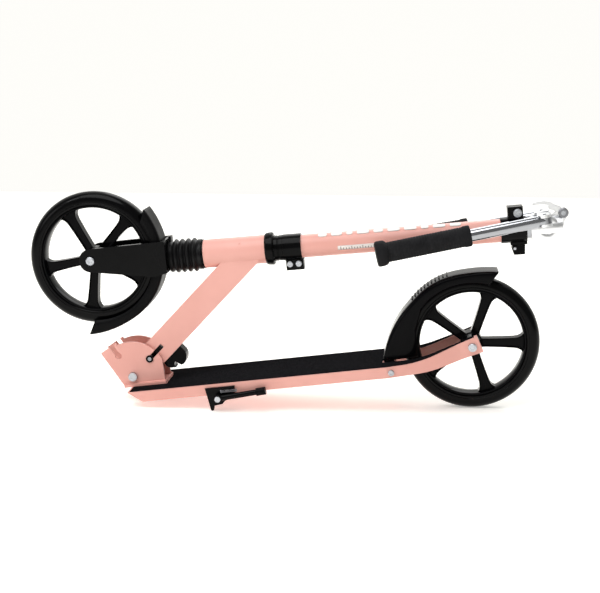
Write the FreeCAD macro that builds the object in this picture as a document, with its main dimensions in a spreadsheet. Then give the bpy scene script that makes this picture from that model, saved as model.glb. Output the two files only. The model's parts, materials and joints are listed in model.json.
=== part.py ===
import FreeCAD, Part
import math
import os
import Sketcher

# Folding kick scooter with two large wheels, a sprung front fork and a folding
# handlebar, shown folded.  It stands on its rear wheel and on the spur of the
# side stand.  Millimetres; +X to the rear, +Y to the rider's right, +Z up.
#
# Four local frames carry the pieces:
#   deck   origin on the rear axle, X along the deck, Z square to it
#   stem   origin on the steering axis beside the front axle, X up the stem
#   neck   origin on the fold pivot, X up the down tube
#   grip   origin on a handle hinge pin, X from the hinge towards the grip

V = FreeCAD.Vector
doc = FreeCAD.newDocument("KickScooter")
sheet = doc.addObject("Spreadsheet::Sheet", "Sizes")


# ---------------------------------------------------------------- named sizes
class Size:
    """A number together with the sheet formula that it comes from."""

    def __init__(self, value, text):
        self.value = value
        self.text = text

    def __add__(self, other):
        other = as_size(other)
        return Size(self.value + other.value, "(%s + %s)" % (self.text, other.text))

    def __sub__(self, other):
        other = as_size(other)
        return Size(self.value - other.value, "(%s - %s)" % (self.text, other.text))

    def __mul__(self, other):
        other = as_size(other)
        return Size(self.value * other.value, "(%s * %s)" % (self.text, other.text))

    def __truediv__(self, other):
        other = as_size(other)
        return Size(self.value / other.value, "(%s / %s)" % (self.text, other.text))

    def __neg__(self):
        return Size(-self.value, "(0 - %s)" % self.text)

    __radd__ = __add__
    __rmul__ = __mul__

    def __rsub__(self, other):
        return as_size(other) - self


def as_size(amount):
    """Plain numbers join in with the named sizes."""
    if isinstance(amount, Size):
        return amount
    return Size(float(amount), "%.6f" % amount if amount >= 0 else "(0 - %.6f)" % -amount)


def number(amount):
    return as_size(amount).value


def sine(angle):
    angle = as_size(angle)
    return Size(math.sin(math.radians(angle.value)), "sin(%s * 1deg)" % angle.text)


def cosine(angle):
    angle = as_size(angle)
    return Size(math.cos(math.radians(angle.value)), "cos(%s * 1deg)" % angle.text)


def polar(radius, angle, centre=(0, 0)):
    """The point at a radius and an angle from a centre."""
    return (as_size(centre[0]) + radius * cosine(angle), as_size(centre[1]) + radius * sine(angle))


sheet_row = 0


def size(name, value, meaning):
    """Write one driving dimension into the sheet and hand it back."""
    global sheet_row
    sheet_row += 1
    sheet.set("A%d" % sheet_row, name)
    sheet.set("B%d" % sheet_row, "%.6g" % value)
    sheet.set("C%d" % sheet_row, meaning)
    sheet.setAlias("B%d" % sheet_row, name)
    return Size(float(value), "Sizes.%s" % name)


wheel_radius = size("wheel_radius", 100.0, "tyre outside radius")
tyre_width = size("tyre_width", 30.0, "tyre width")
tyre_depth = size("tyre_depth", 20.0, "tyre from rim seat to tread")
rim_lip = size("rim_lip", 4.0, "rim ring thickness")
rim_width = size("rim_width", 26.0, "rim ring width")
hub_radius = size("hub_radius", 16.5, "wheel hub radius")
hub_nose_radius = size("hub_nose_radius", 13.5, "radius of the hub's bearing nose")
hub_half = size("hub_half", 26.3, "half length of the hub over its bearings")
spoke_count = 5
spoke_root = size("spoke_root", 13.0, "spoke width at the hub")
spoke_tip = size("spoke_tip", 20.0, "spoke width at the rim")
spoke_half_depth = size("spoke_half_depth", 8.0, "half thickness of a spoke")
bearing_radius = size("bearing_radius", 11.0, "wheel bearing outside radius")
bearing_width = size("bearing_width", 7.0, "wheel bearing width")
axle_radius = size("axle_radius", 4.0, "wheel axle radius")
run_gap = size("run_gap", 0.05, "radial gap of a running fit")
gap = size("gap", 0.4, "clear gap between pieces that move past each other")

deck_half = size("deck_half", 58.0, "half width of the deck")
deck_top = size("deck_top", -12.3, "deck plate height above the rear axle")
deck_height = size("deck_height", 16.0, "deck height")
deck_wall = size("deck_wall", 3.2, "deck wall")
nose_reach = size("nose_reach", 514.0, "deck nose ahead of the rear axle")
nose_rake = size("nose_rake", 21.0, "how far the nose leans back")
slot_half = size("slot_half", 27.0, "half width of the wheel slot")
slot_reach = size("slot_reach", 131.0, "front of the wheel slot ahead of the axle")
arm_half = size("arm_half", 37.0, "half width over the dropouts")
arm_rise = size("arm_rise", 28.0, "dropout top above the deck plate")
arm_end = size("arm_end", 11.5, "dropout end behind the axle")
drop_height = size("drop_height", 24.8, "dropout height")
tape_thick = size("tape_thick", 0.8, "grip tape thickness")

pivot_x = size("pivot_x", -510.6, "fold pivot, along the deck from the rear axle")
pivot_z = size("pivot_z", 3.0, "fold pivot, height over the rear axle")
fold_travel = size("fold_travel", 78.0, "fold angle from stowed to riding")
neck_folded = size("neck_folded", 40.1, "down tube over the deck when folded")
neck_to_stem = size("neck_to_stem", 41.9, "angle between down tube and steering axis")
neck_depth = size("neck_depth", 40.0, "down tube depth")
neck_width = size("neck_width", 34.0, "down tube width")
neck_wall = size("neck_wall", 2.5, "down tube wall")
neck_length = size("neck_length", 262.5, "fold pivot to the steering axis along the down tube")
cheek_inner = size("cheek_inner", 18.5, "inside of a bracket cheek from the middle")
cheek_thick = size("cheek_thick", 4.0, "bracket cheek thickness")
track_depth = size("track_depth", 2.4, "pin track depth inside a bracket cheek")
cheek_radius = size("cheek_radius", 53.4, "rounded cheek edge from the pivot")
cheek_arm = size("cheek_arm", 56.5, "end of the cheek's stop arm from the pivot")
flange_half = size("flange_half", 27.0, "half width of the bracket foot")
flange_thick = size("flange_thick", 4.0, "bracket foot thickness")
fold_bolt_radius = size("fold_bolt_radius", 4.0, "fold bolt radius")
bush_radius = size("bush_radius", 6.0, "fold bush outside radius")
lug_radius = size("lug_radius", 10.6, "neck lug radius round the fold bolt")
lock_radius = size("lock_radius", 38.2, "locked pin from the fold pivot")
lock_travel = size("lock_travel", 23.6, "how far the lock pin is drawn out")
lock_pin_radius = size("lock_pin_radius", 3.0, "lock pin radius")

rake = size("rake", 7.7, "front axle ahead of the steering axis")
stem_back = size("stem_back", 39.9, "fold pivot from the front axle, along the stem")
head_start = size("head_start", 166.0, "lower end of the head tube from the front axle")
head_end = size("head_end", 258.5, "upper end of the head tube")
head_radius = size("head_radius", 21.0, "head tube outside radius")
head_bore = size("head_bore", 17.5, "head tube bore radius")
steerer_radius = size("steerer_radius", 14.3, "steerer outside radius")
steerer_bore = size("steerer_bore", 11.5, "steerer bore radius")
steerer_start = size("steerer_start", 150.0, "lower end of the steerer")
steerer_end = size("steerer_end", 330.0, "upper end of the steerer")
fork_inner = size("fork_inner", 27.0, "inside of a fork blade from the middle")
fork_thick = size("fork_thick", 6.0, "fork blade thickness")
crown_start = size("crown_start", 108.5, "underside of the fork crown")
crown_end = size("crown_end", 113.0, "top of the fork crown")
blade_round = size("blade_round", 17.5, "round end of a fork blade")
post_end = size("post_end", 215.0, "upper end of the fork's sliding post")
fork_travel = size("fork_travel", 12.0, "spring travel of the fork")
guard_radius = size("guard_radius", 107.0, "front mudguard outside radius")
guard_wall = size("guard_wall", 2.6, "mudguard wall")
guard_half = size("guard_half", 24.0, "half width of a mudguard")
skirt_radius = size("skirt_radius", 92.0, "inner edge of the mudguard skirts")

stem_radius = size("stem_radius", 17.0, "stem tube outside radius")
stem_bore = size("stem_bore", 14.6, "stem tube bore radius")
stem_start = size("stem_start", 285.0, "lower end of the stem tube")
stem_end = size("stem_end", 636.0, "upper end of the stem tube")
slider_radius = size("slider_radius", 14.3, "sliding tube outside radius")
slider_bore = size("slider_bore", 12.5, "sliding tube bore radius")
slider_start = size("slider_start", 392.0, "lower end of the sliding tube")
slider_end = size("slider_end", 688.0, "upper end of the sliding tube")
collar_wall = size("collar_wall", 2.5, "clamp collar wall")
tee_at = size("tee_at", 669.0, "middle of the handlebar head along the stem")
tee_radius = size("tee_radius", 17.5, "handlebar head barrel radius")
tee_half = size("tee_half", 14.0, "half length of the head barrel")
hinge_x = size("hinge_x", 665.6, "handle hinge along the stem")
hinge_z = size("hinge_z", 13.2, "handle hinge ahead of the stem axis")
hinge_half = size("hinge_half", 24.0, "handle hinge from the middle")
handle_drop = size("handle_drop", 6.0, "tilt of the handle hinge")
handle_splay = size("handle_splay", 6.8, "folded handle opens from the stem")
handle_radius = size("handle_radius", 9.0, "handle tube radius")
handle_length = size("handle_length", 246.0, "hinge to the outer end of the grip")
grip_length = size("grip_length", 137.0, "grip length")
grip_radius = size("grip_radius", 14.75, "grip outside radius")
flange_radius = size("flange_radius", 18.5, "grip end flange radius")

stand_x = size("stand_x", -377.3, "stand pivot along the deck")
stand_z = size("stand_z", -32.0, "stand pivot below the rear axle")
stand_plate = size("stand_plate", 3.0, "stand bracket thickness")
stand_leg = size("stand_leg", 70.0, "stand leg length")
stand_leg_radius = size("stand_leg_radius", 4.6, "stand leg radius")
spur_x = size("spur_x", -389.0, "tip of the bracket spur along the deck")
spur_z = size("spur_z", -51.6, "tip of the bracket spur below the rear axle")
brake_pin_x = size("brake_pin_x", -120.5, "brake pivot along the deck")
brake_pin_z = size("brake_pin_z", -21.0, "brake pivot below the rear axle")
brake_pin_radius = size("brake_pin_radius", 3.0, "brake pivot rod radius")
brake_half = size("brake_half", 24.5, "half width of the brake fender")
brake_wall = size("brake_wall", 2.6, "brake fender wall")
brake_radius = size("brake_radius", 106.8, "brake fender outside radius")
doc.recompute()


# ------------------------------------------------------------------- builders
def bind(item, prop, amount):
    """Set a property and tie it to the sheet."""
    amount = as_size(amount)
    setattr(item, prop, amount.value)
    if "Sizes." in amount.text:
        item.setExpression(prop, amount.text)


def turn_to(along):
    """Rotation that carries +Z onto the named axis."""
    turns = {
        "z": FreeCAD.Rotation(),
        "x": FreeCAD.Rotation(V(0, 1, 0), 90),
        "y": FreeCAD.Rotation(V(1, 0, 0), -90),
    }
    return turns[along]


def vector(point):
    return V(number(point[0]), number(point[1]), number(point[2]))


def cylinder(radius, length, start, along):
    """Round bar from a start point, along a positive axis."""
    bar = doc.addObject("Part::Cylinder", "Bar")
    bind(bar, "Radius", radius)
    bind(bar, "Height", length)
    bar.Placement = FreeCAD.Placement(vector(start), turn_to(along))
    return bar


def box(low, high):
    """Block between two opposite corners."""
    block = doc.addObject("Part::Box", "Block")
    sides = ("Length", "Width", "Height")
    for side, near, far in zip(sides, low, high):
        bind(block, side, as_size(far) - near)
    block.Placement = FreeCAD.Placement(vector(low), FreeCAD.Rotation())
    return block


def cut(base, *tools):
    """Base less every tool."""
    for tool in tools:
        step = doc.addObject("Part::Cut", "Cut")
        step.Base = base
        step.Tool = tool
        base = step
    return base


def fuse(*pieces):
    joined = doc.addObject("Part::MultiFuse", "Joined")
    joined.Shapes = list(pieces)
    return joined


def common(*pieces):
    shared = doc.addObject("Part::MultiCommon", "Shared")
    shared.Shapes = list(pieces)
    return shared


def tube(outer, bore, length, start, along):
    """Round tube; the bore runs a little past both ends."""
    spare = {"x": V(1, 0, 0), "y": V(0, 1, 0), "z": V(0, 0, 1)}[along]
    body = cylinder(outer, length, start, along)
    hole_start = vector(start) - spare
    hole = cylinder(bore, as_size(length) + 2, hole_start, along)
    return cut(body, hole)


def origin_plane(body, role):
    for feature in body.Origin.OriginFeatures:
        if feature.Role == role:
            return feature
    raise ValueError(role)


def pinned_point(sketch, edge, end, point):
    """Hold one end of an edge at bound distances from the sketch origin."""
    for kind, amount in zip(("DistanceX", "DistanceY"), point):
        amount = as_size(amount)
        index = sketch.addConstraint(Sketcher.Constraint(kind, -1, 1, edge, end, amount.value))
        if "Sizes." in amount.text:
            sketch.setExpression("Constraints[%d]" % index, amount.text)


def outline(body, role, path):
    """Closed sketch.  A path item is a corner (x, y).  A third value bends the run
    that arrives at the corner into an arc of that radius, which turns left if the
    radius is positive and right if it is negative."""
    sketch = body.newObject("Sketcher::SketchObject", "Outline")
    sketch.AttachmentSupport = [(origin_plane(body, role), "")]
    sketch.MapMode = "FlatFace"
    corners = [V(number(item[0]), number(item[1]), 0) for item in path]
    first_end = []
    last_end = []
    for index, item in enumerate(path):
        start = corners[index - 1]
        end = corners[index]
        turns_right = len(item) == 3 and number(item[2]) < 0
        first_end.append(2 if turns_right else 1)
        last_end.append(1 if turns_right else 2)
        if len(item) == 2:
            sketch.addGeometry(Part.LineSegment(start, end))
            continue
        if turns_right:
            start, end = end, start
        radius = abs(number(item[2]))
        chord = end - start
        reach = math.sqrt(radius * radius - chord.Length * chord.Length / 4)
        centre = (start + end) / 2 + V(-chord.y, chord.x, 0).normalize() * reach
        from_angle = math.atan2(start.y - centre.y, start.x - centre.x)
        to_angle = math.atan2(end.y - centre.y, end.x - centre.x)
        circle = Part.Circle(centre, V(0, 0, 1), radius)
        sketch.addGeometry(Part.ArcOfCircle(circle, from_angle, to_angle))
    count = len(path)
    for index, item in enumerate(path):
        following = (index + 1) % count
        tags = (index, last_end[index], following, first_end[following])
        sketch.addConstraint(Sketcher.Constraint("Coincident", *tags))
        pinned_point(sketch, index, last_end[index], item[:2])
        if len(item) == 3:
            amount = as_size(item[2])
            if amount.value < 0:
                amount = -amount
            tag = sketch.addConstraint(Sketcher.Constraint("Radius", index, amount.value))
            if "Sizes." in amount.text:
                sketch.setExpression("Constraints[%d]" % tag, amount.text)
    return sketch


def slab(path, low, high):
    """Side-view outline (X, Z) made solid between two Y positions."""
    body = doc.addObject("PartDesign::Body", "Slab")
    pad = body.newObject("PartDesign::Pad", "Pad")
    pad.Profile = outline(body, "XZ_Plane", path)
    bind(pad, "Length", as_size(high) - low)
    body.Placement = FreeCAD.Placement(V(0, number(high), 0), FreeCAD.Rotation())
    return body


def plate(path, low, high):
    """Plan outline (X, Y) made solid between two Z positions."""
    body = doc.addObject("PartDesign::Body", "Plate")
    pad = body.newObject("PartDesign::Pad", "Pad")
    pad.Profile = outline(body, "XY_Plane", path)
    bind(pad, "Length", as_size(high) - low)
    body.Placement = FreeCAD.Placement(V(0, 0, number(low)), FreeCAD.Rotation())
    return body


def turned(path, start, along):
    """Solid of revolution; a path point is (radius, distance along the axis)."""
    body = doc.addObject("PartDesign::Body", "Turned")
    sketch = outline(body, "XZ_Plane", path)
    spin = body.newObject("PartDesign::Revolution", "Spin")
    spin.Profile = sketch
    spin.ReferenceAxis = (sketch, ["V_Axis"])
    spin.Angle = 360
    body.Placement = FreeCAD.Placement(vector(start), turn_to(along))
    return body


# --------------------------------------------------------------------- frames
def tilt(point, angle):
    """Placement at a side-view point; a positive angle lifts the X axis."""
    return FreeCAD.Placement(vector(point), FreeCAD.Rotation(V(0, 1, 0), -number(angle)))


# The spur and the rear tyre touch the ground together, which sets the deck's tilt.
spur_distance = math.hypot(spur_x.value, spur_z.value)
deck_tilt = math.degrees(
    math.asin(wheel_radius.value / spur_distance) - math.atan2(-spur_z.value, -spur_x.value)
)
deck_frame = tilt((0, 0, wheel_radius), deck_tilt)

# The down tube meets the steering axis at neck_length from the pivot.
neck_frame = deck_frame * tilt((pivot_x, 0, pivot_z), neck_folded)
stem_drop = neck_length * sine(neck_to_stem)
stem_join = stem_back + neck_length * cosine(neck_to_stem)
stem_frame = neck_frame * tilt((neck_length, 0, 0), -neck_to_stem.value)
stem_frame = stem_frame * FreeCAD.Placement(V(-stem_join.value, 0, 0), FreeCAD.Rotation())
front_axle_frame = stem_frame * FreeCAD.Placement(V(0, 0, rake.value), FreeCAD.Rotation())


def handle_frame(side):
    """Frame of a handle: X runs from the hinge to the grip, Z is the hinge axis."""
    hinge = stem_frame * tilt((hinge_x, side * hinge_half, hinge_z), handle_drop)
    turn = 180 - side * handle_splay.value
    return hinge * FreeCAD.Placement(V(0, 0, 0), FreeCAD.Rotation(V(0, 0, 1), turn))


nodes = {}


def node(name, piece, frame):
    """Name a finished piece and carry it into its frame."""
    piece.Label = name
    nodes[name] = (piece, frame)


# ----------------------------------------------------------------------- deck
deck_bottom = deck_top - deck_height
arm_top = deck_top + arm_rise
rise_start = slot_reach - 26
rise_end = as_size(55)
lift_start = as_size(85)
lift_end = as_size(45)
side_view = [
    (-nose_reach, deck_top),
    (-nose_reach + nose_rake, deck_bottom),
    (-lift_start, deck_bottom),
    (-lift_end, deck_bottom + 4.9, 166.5),
    (arm_end + 3.7, arm_top - drop_height + 0.9),
    (arm_end - 3.5, arm_top),
    (-rise_end, deck_top + 7.7),
    (-rise_start, deck_top, -166.0),
]
taper_start = slot_reach - 5
taper_end = as_size(18)


def deck_plan(inset, low, high):
    """Deck outline in plan with the wheel slot, held in from the rim by an inset."""
    outer = deck_half - inset
    arm_outer = arm_half - inset
    inner = slot_half + inset
    back = arm_end + 8
    path = [
        (-nose_reach - 1, -outer),
        (-taper_start, -outer),
        (-taper_end, -arm_outer),
        (back, -arm_outer),
        (back, -inner),
        (-slot_reach - inset, -inner),
        (-slot_reach - inset, inner),
        (back, inner),
        (back, arm_outer),
        (-taper_end, arm_outer),
        (-taper_start, outer),
        (-nose_reach - 1, outer),
    ]
    return plate(path, low, high)


deck_block = common(slab(side_view, -deck_half, deck_half), deck_plan(0, -60, 40))
cavity_front = -nose_reach + nose_rake + 10
cavity_back = -slot_reach - deck_wall
cavity_low = deck_bottom + deck_wall
cavity_high = deck_top - deck_wall
cavity = box(
    (cavity_front, -deck_half + deck_wall, cavity_low),
    (cavity_back, deck_half - deck_wall, cavity_high),
)
vent = box((cavity_back - 1, -20, cavity_low), (-slot_reach + 1, 20, cavity_high))
axle_hole = cylinder(axle_radius + run_gap, arm_half * 2 + 2, (0, -arm_half - 1, 0), "y")
brake_hole = cylinder(
    brake_pin_radius + run_gap, deck_half * 2 + 2, (brake_pin_x, -deck_half - 1, brake_pin_z), "y"
)
deck = cut(deck_block, cavity, vent, axle_hole, brake_hole)
node("deck", deck, deck_frame)

# Grip tape follows the deck top and both arms, and leaves room for the bracket foot.
tape_edge = as_size(2.0)
tape_band = [
    (-nose_reach + 3, deck_top),
    (-rise_start, deck_top),
    (-rise_end, deck_top + 7.7, 166.0),
    (arm_end - 8, arm_top - 1.43),
    (arm_end - 8.3, arm_top - 1.43 + tape_thick),
    (-rise_end - 0.25, deck_top + 7.7 + tape_thick),
    (-rise_start, deck_top + tape_thick, tape_thick - 166.0),
    (-nose_reach + 3, deck_top + tape_thick),
]
foot_front = pivot_x - 14.8
foot_back = pivot_x + 50
foot_room = box(
    (-nose_reach - 1, -flange_half - 1, deck_top - 1),
    (foot_back + 1, flange_half + 1, deck_top + 2),
)
tape = common(slab(tape_band, -deck_half, deck_half), deck_plan(tape_edge, -60, 40))
node("grip_tape", cut(tape, foot_room), deck_frame)

# ---------------------------------------------------------------- fold bracket
unfolded = neck_folded + fold_travel
pivot = (pivot_x, pivot_z)


def arm_point(along, forward):
    """Point on a cheek by distance along the riding down tube and ahead of it."""
    x = pivot_x + along * cosine(unfolded) - forward * sine(unfolded)
    z = pivot_z + along * sine(unfolded) + forward * cosine(unfolded)
    return (x, z)


foot_low = deck_top
cheek_back = pivot_x + 48
cheek_back_z = pivot_z + 23.4
cheek_path = [
    (foot_front, foot_low),
    (cheek_back, foot_low),
    (cheek_back, cheek_back_z),
    polar(cheek_radius, 109, pivot) + (cheek_radius,),
    arm_point(cheek_arm, -9),
    arm_point(cheek_arm, neck_depth / 2),
]


clip_radius = as_size(4.9)
clip_track = cheek_inner + track_depth


def cheek_slot(angle):
    """Notch for the lock pin, open at the cheek's edge, with a wider track inside for its clip."""
    width = lock_pin_radius * 2 + 2 * gap
    length = as_size(40)
    low = -(cheek_inner + cheek_thick + 1)
    high = cheek_inner + cheek_thick + 1
    track_half = clip_radius + gap
    groove = box((lock_radius, low, -width / 2), (lock_radius + length, high, width / 2))
    seat = cylinder(track_half, high - low, (lock_radius, low, 0), "y")
    track = box(
        (lock_radius, -clip_track, -track_half), (lock_radius + length, clip_track, track_half)
    )
    notch = fuse(groove, seat, track)
    notch.Placement = tilt((pivot_x, 0, pivot_z), angle)
    return notch


# Blind track on the cheeks' inner faces: the clipped pin ends run in it as the stem folds.
track_out = lock_radius + clip_radius + gap
track_in = lock_radius - clip_radius - gap
fold_track_path = [
    polar(track_in, neck_folded, pivot) + (-track_in,),
    polar(track_out, neck_folded, pivot),
    polar(track_out, unfolded, pivot) + (track_out,),
    polar(track_in, unfolded, pivot),
]
fold_track = slab(fold_track_path, -clip_track, clip_track)

left_cheek = slab(cheek_path, -cheek_inner - cheek_thick, -cheek_inner)
right_cheek = slab(cheek_path, cheek_inner, cheek_inner + cheek_thick)
foot = box(
    (foot_front, -flange_half, deck_top),
    (foot_back, flange_half, deck_top + flange_thick),
)
fold_hole = cylinder(
    fold_bolt_radius + run_gap,
    cheek_inner * 2 + 30,
    (pivot_x, -cheek_inner - 15, pivot_z),
    "y",
)
bracket = cut(
    fuse(left_cheek, right_cheek, foot),
    fold_hole,
    cheek_slot(neck_folded),
    cheek_slot(unfolded),
    fold_track,
)
node("fold_bracket", bracket, deck_frame)

cheek_outer = cheek_inner + cheek_thick
bolt_head = cylinder(6.6, 5, (pivot_x, -cheek_outer - 5, pivot_z), "y")
bolt_shank = cylinder(
    fold_bolt_radius, cheek_outer * 2 + 13, (pivot_x, -cheek_outer - 5, pivot_z), "y"
)
node("fold_bolt", fuse(bolt_head, bolt_shank), deck_frame)
node(
    "fold_nut",
    tube(6.8, fold_bolt_radius, 6.5, (pivot_x, cheek_outer, pivot_z), "y"),
    deck_frame,
)

# ----------------------------------------------------------------- neck frame
neck_half = neck_width / 2
neck_start = as_size(8)
neck_outer = box((neck_start, -neck_half, -neck_depth / 2), (neck_length, neck_half, neck_depth / 2))
lug = cylinder(lug_radius, neck_width, (0, -neck_half, 0), "y")
lug_web = box((0, -neck_half, -8), (neck_start + 1, neck_half, 8))
neck_inner = box(
    (neck_start + neck_wall + 4, -neck_half + neck_wall, -neck_depth / 2 + neck_wall),
    (neck_length, neck_half - neck_wall, neck_depth / 2 - neck_wall),
)
in_neck = tilt((neck_length, 0, 0), -neck_to_stem.value)
in_neck = in_neck * FreeCAD.Placement(V(-stem_join.value, 0, 0), FreeCAD.Rotation())


def head_bar(radius, spare):
    """Round bar on the steering axis, placed in the neck's frame."""
    bar = cylinder(radius, head_end - head_start + 2 * spare, (0, 0, 0), "x")
    start = FreeCAD.Placement(V(head_start.value - spare, 0, 0), turn_to("x"))
    bar.Placement = in_neck * start
    return bar


slot_half_width = lock_pin_radius + gap
pin_slot_low = lock_radius - lock_pin_radius - gap
pin_slot_high = lock_radius + lock_travel + lock_pin_radius + gap
pin_slot = box(
    (pin_slot_low, -neck_half - 1, -slot_half_width), (pin_slot_high, neck_half + 1, slot_half_width)
)
trigger_slot = box(
    (lock_radius - 4, -5 - gap, -neck_depth / 2 - 1),
    (lock_radius + lock_travel + 24, 5 + gap, -neck_depth / 2 + neck_wall + 1),
)
seat_at = lock_radius + lock_travel + 46
spring_seat = box(
    (seat_at, -neck_half + 1, -neck_depth / 2 + 1), (seat_at + 3, neck_half - 1, neck_depth / 2 - 1)
)
hollow = cut(neck_inner, head_bar(head_radius, 20))
shell = cut(fuse(neck_outer, lug, lug_web, head_bar(head_radius, 0)), hollow)
neck = cut(
    fuse(shell, spring_seat),
    head_bar(head_bore, 1),
    cylinder(bush_radius, neck_width + 2, (0, -neck_half - 1, 0), "y"),
    pin_slot,
    trigger_slot,
)
node("neck_frame", neck, neck_frame)

bush_half = cheek_inner - gap / 2
bush_sleeve = cylinder(bush_radius, bush_half * 2, (0, -bush_half, 0), "y")
bush_left = cylinder(8.5, bush_half - neck_half, (0, -bush_half, 0), "y")
bush_right = cylinder(8.5, bush_half - neck_half, (0, neck_half, 0), "y")
bush_hole = cylinder(fold_bolt_radius + run_gap, 60, (0, -30, 0), "y")
node("fold_bush", cut(fuse(bush_sleeve, bush_left, bush_right), bush_hole), neck_frame)

# Lock: a clipped pin across both cheeks, carried by a trigger that slides in the down tube.
pin_end = clip_track - gap
pin_bar = cylinder(lock_pin_radius, pin_end * 2, (lock_radius, -pin_end, 0), "y")
clip_left = cylinder(clip_radius, 1.8, (lock_radius, -pin_end, 0), "y")
clip_right = cylinder(clip_radius, 1.8, (lock_radius, pin_end - 1.8, 0), "y")
node("lock_pin", fuse(pin_bar, clip_left, clip_right), neck_frame)

hook_top = -neck_depth / 2 - gap
hook_path = [
    (lock_radius + 6, hook_top),
    (lock_radius + 5, hook_top - 7.5),
    (lock_radius + 8, hook_top - 12.8),
    (lock_radius + 14, hook_top - 17.8),
    (lock_radius + 19.5, hook_top - 11.0, -6.0),
    (lock_radius + 22.5, hook_top - 21.0),
    (lock_radius + 35.7, hook_top - 19.5, 11.0),
    (lock_radius + 42.6, hook_top - 9.5, 14.0),
    (lock_radius + 42.9, hook_top),
]
hook = slab(hook_path, -9, 9)
block_front = lock_radius - 7
block_back = lock_radius + 19
block = box((block_front, -11, -neck_depth / 2 + neck_wall + gap), (block_back, 11, 13))
stalk = box((lock_radius + 7, -5, hook_top - 2), (block_back, 5, -neck_depth / 2 + neck_wall + 2))
pin_room = cylinder(lock_pin_radius, 40, (lock_radius, -20, 0), "y")
node("release_trigger", cut(fuse(hook, block, stalk), pin_room), neck_frame)
node(
    "lock_spring",
    tube(6.5, 4.7, seat_at - block_back - 2 * gap, (block_back + gap, 0, 0), "x"),
    neck_frame,
)

# -------------------------------------------------------- headset and steerer
cup_lip = as_size(2.5)
node(
    "lower_headset_cup",
    tube(head_radius + 0.6, steerer_radius + gap, cup_lip, (head_start - cup_lip, 0, 0), "x"),
    stem_frame,
)
race_width = as_size(7)
node(
    "lower_headset_bearing",
    tube(head_bore, steerer_radius, race_width, (head_start + 0.5, 0, 0), "x"),
    stem_frame,
)
node(
    "upper_headset_bearing",
    tube(head_bore, steerer_radius, race_width, (head_end - race_width - 0.5, 0, 0), "x"),
    stem_frame,
)
ring_end = head_end + 12.8
upper_ring_path = [
    (steerer_radius + gap, 0),
    (head_radius + 1.2, 0),
    (head_radius + 2.6, 2),
    (head_radius + 3.3, 7.5),
    (head_radius + 3.3, 11),
    (head_radius + 1, 12.8),
    (steerer_radius + gap, 12.8),
]
node("upper_headset_cup", turned(upper_ring_path, (head_end, 0, 0), "x"), stem_frame)
nut_gap = as_size(0.3)
locknut_path = [
    (steerer_radius, 0),
    (steerer_radius + 4.6, 0),
    (steerer_radius + 4.6, 5),
    (steerer_radius + 3.9, 5.6),
    (steerer_radius + 3.9, 6.8),
    (steerer_radius + 4.6, 7.4),
    (steerer_radius + 4.6, 13.2),
    (steerer_radius, 13.2),
]
node("headset_locknut", turned(locknut_path, (ring_end + nut_gap, 0, 0), "x"), stem_frame)

steerer = tube(
    steerer_radius, steerer_bore, steerer_end - steerer_start, (steerer_start, 0, 0), "x"
)
steerer_stop = cylinder(steerer_bore + 0.5, 4, (steerer_end - 30, 0, 0), "x")
node("steerer_tube", fuse(steerer, steerer_stop), stem_frame)
spring_start = post_end + 0.3
node(
    "suspension_spring",
    tube(9.5, 6.5, steerer_end - 30 - spring_start - 0.3, (spring_start, 0, 0), "x"),
    stem_frame,
)

# ----------------------------------------------------------------------- fork
fork_outer = fork_inner + fork_thick
blade_top = rake + 20
blade_path = [
    (crown_start - 22, -23),
    (crown_start - 9, -22.4, 24.0),
    (crown_end, -19.5),
    (crown_end, blade_top),
    (0, rake + blade_round),
    (-blade_round, rake, blade_round),
    (0, rake - blade_round, blade_round),
]


def blade(low, high):
    body = slab(blade_path, low, high)
    hole = cylinder(axle_radius + run_gap, as_size(high) - low + 2, (0, low - 1, rake), "y")
    return cut(body, hole)


crown = box((crown_start, -fork_inner - 1, -19.5), (crown_end, fork_inner + 1, blade_top))
post = cylinder(steerer_bore - run_gap, post_end - crown_start, (crown_start, 0, 0), "x")
node(
    "fork",
    fuse(blade(-fork_outer, -fork_inner), blade(fork_inner, fork_outer), crown, post),
    stem_frame,
)

# Rubber bellows between the crown and the headset; the tie clamps its lower end.
bellows_start = crown_end + 0.2
bellows_end = head_start - cup_lip - 0.3
cuff = as_size(4.6)
fold_total = 4
fold_pitch = (bellows_end - bellows_start - cuff * 2) / fold_total
ridge = as_size(25.3)
valley = as_size(21.3)
sleeve = as_size(16.5)
cuff_radius = as_size(22.4)
bellows_path = [(sleeve, 0), (cuff_radius, 0), (cuff_radius, cuff)]
for fold in range(fold_total):
    low = cuff + fold_pitch * fold
    bellows_path.append((valley, low + fold_pitch * 0.12))
    bellows_path.append((ridge, low + fold_pitch * 0.42))
    bellows_path.append((ridge, low + fold_pitch * 0.6))
    bellows_path.append((valley, low + fold_pitch * 0.9))
bellows_length = bellows_end - bellows_start
bellows_path.append((cuff_radius, bellows_length - cuff))
bellows_path.append((cuff_radius, bellows_length))
bellows_path.append((sleeve, bellows_length))
node("bellows", turned(bellows_path, (bellows_start, 0, 0), "x"), stem_frame)
tie_band = tube(cuff_radius + 1.1, cuff_radius + 0.1, 3.4, (bellows_start + 0.6, 0, 0), "x")
tie_head = box(
    (bellows_start + 0.2, -3.2, cuff_radius + 0.6), (bellows_start + 4.4, 3.2, cuff_radius + 8.4)
)
node("bellows_tie", fuse(tie_band, tie_head), stem_frame)

# ------------------------------------------------------------ front mudguard
guard_top_angle = 38.7
guard_low_angle = -99.7
guard_flare = guard_radius + 9.5


def guard_path(drop, skirt, spare):
    """Mudguard side view; drop moves the crest in, spare runs past both ends."""
    crest = guard_radius - drop
    flare = guard_flare - drop
    return [
        polar(skirt, guard_low_angle + 5 - spare),
        polar(skirt, guard_top_angle - 7 + spare) + (skirt,),
        polar(crest + 3.5, guard_top_angle + spare),
        polar(crest, 12) + (-(crest + 14),),
        polar(crest, -62) + (-crest,),
        polar(flare, guard_low_angle - spare) + (-(crest + 58),),
    ]


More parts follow.
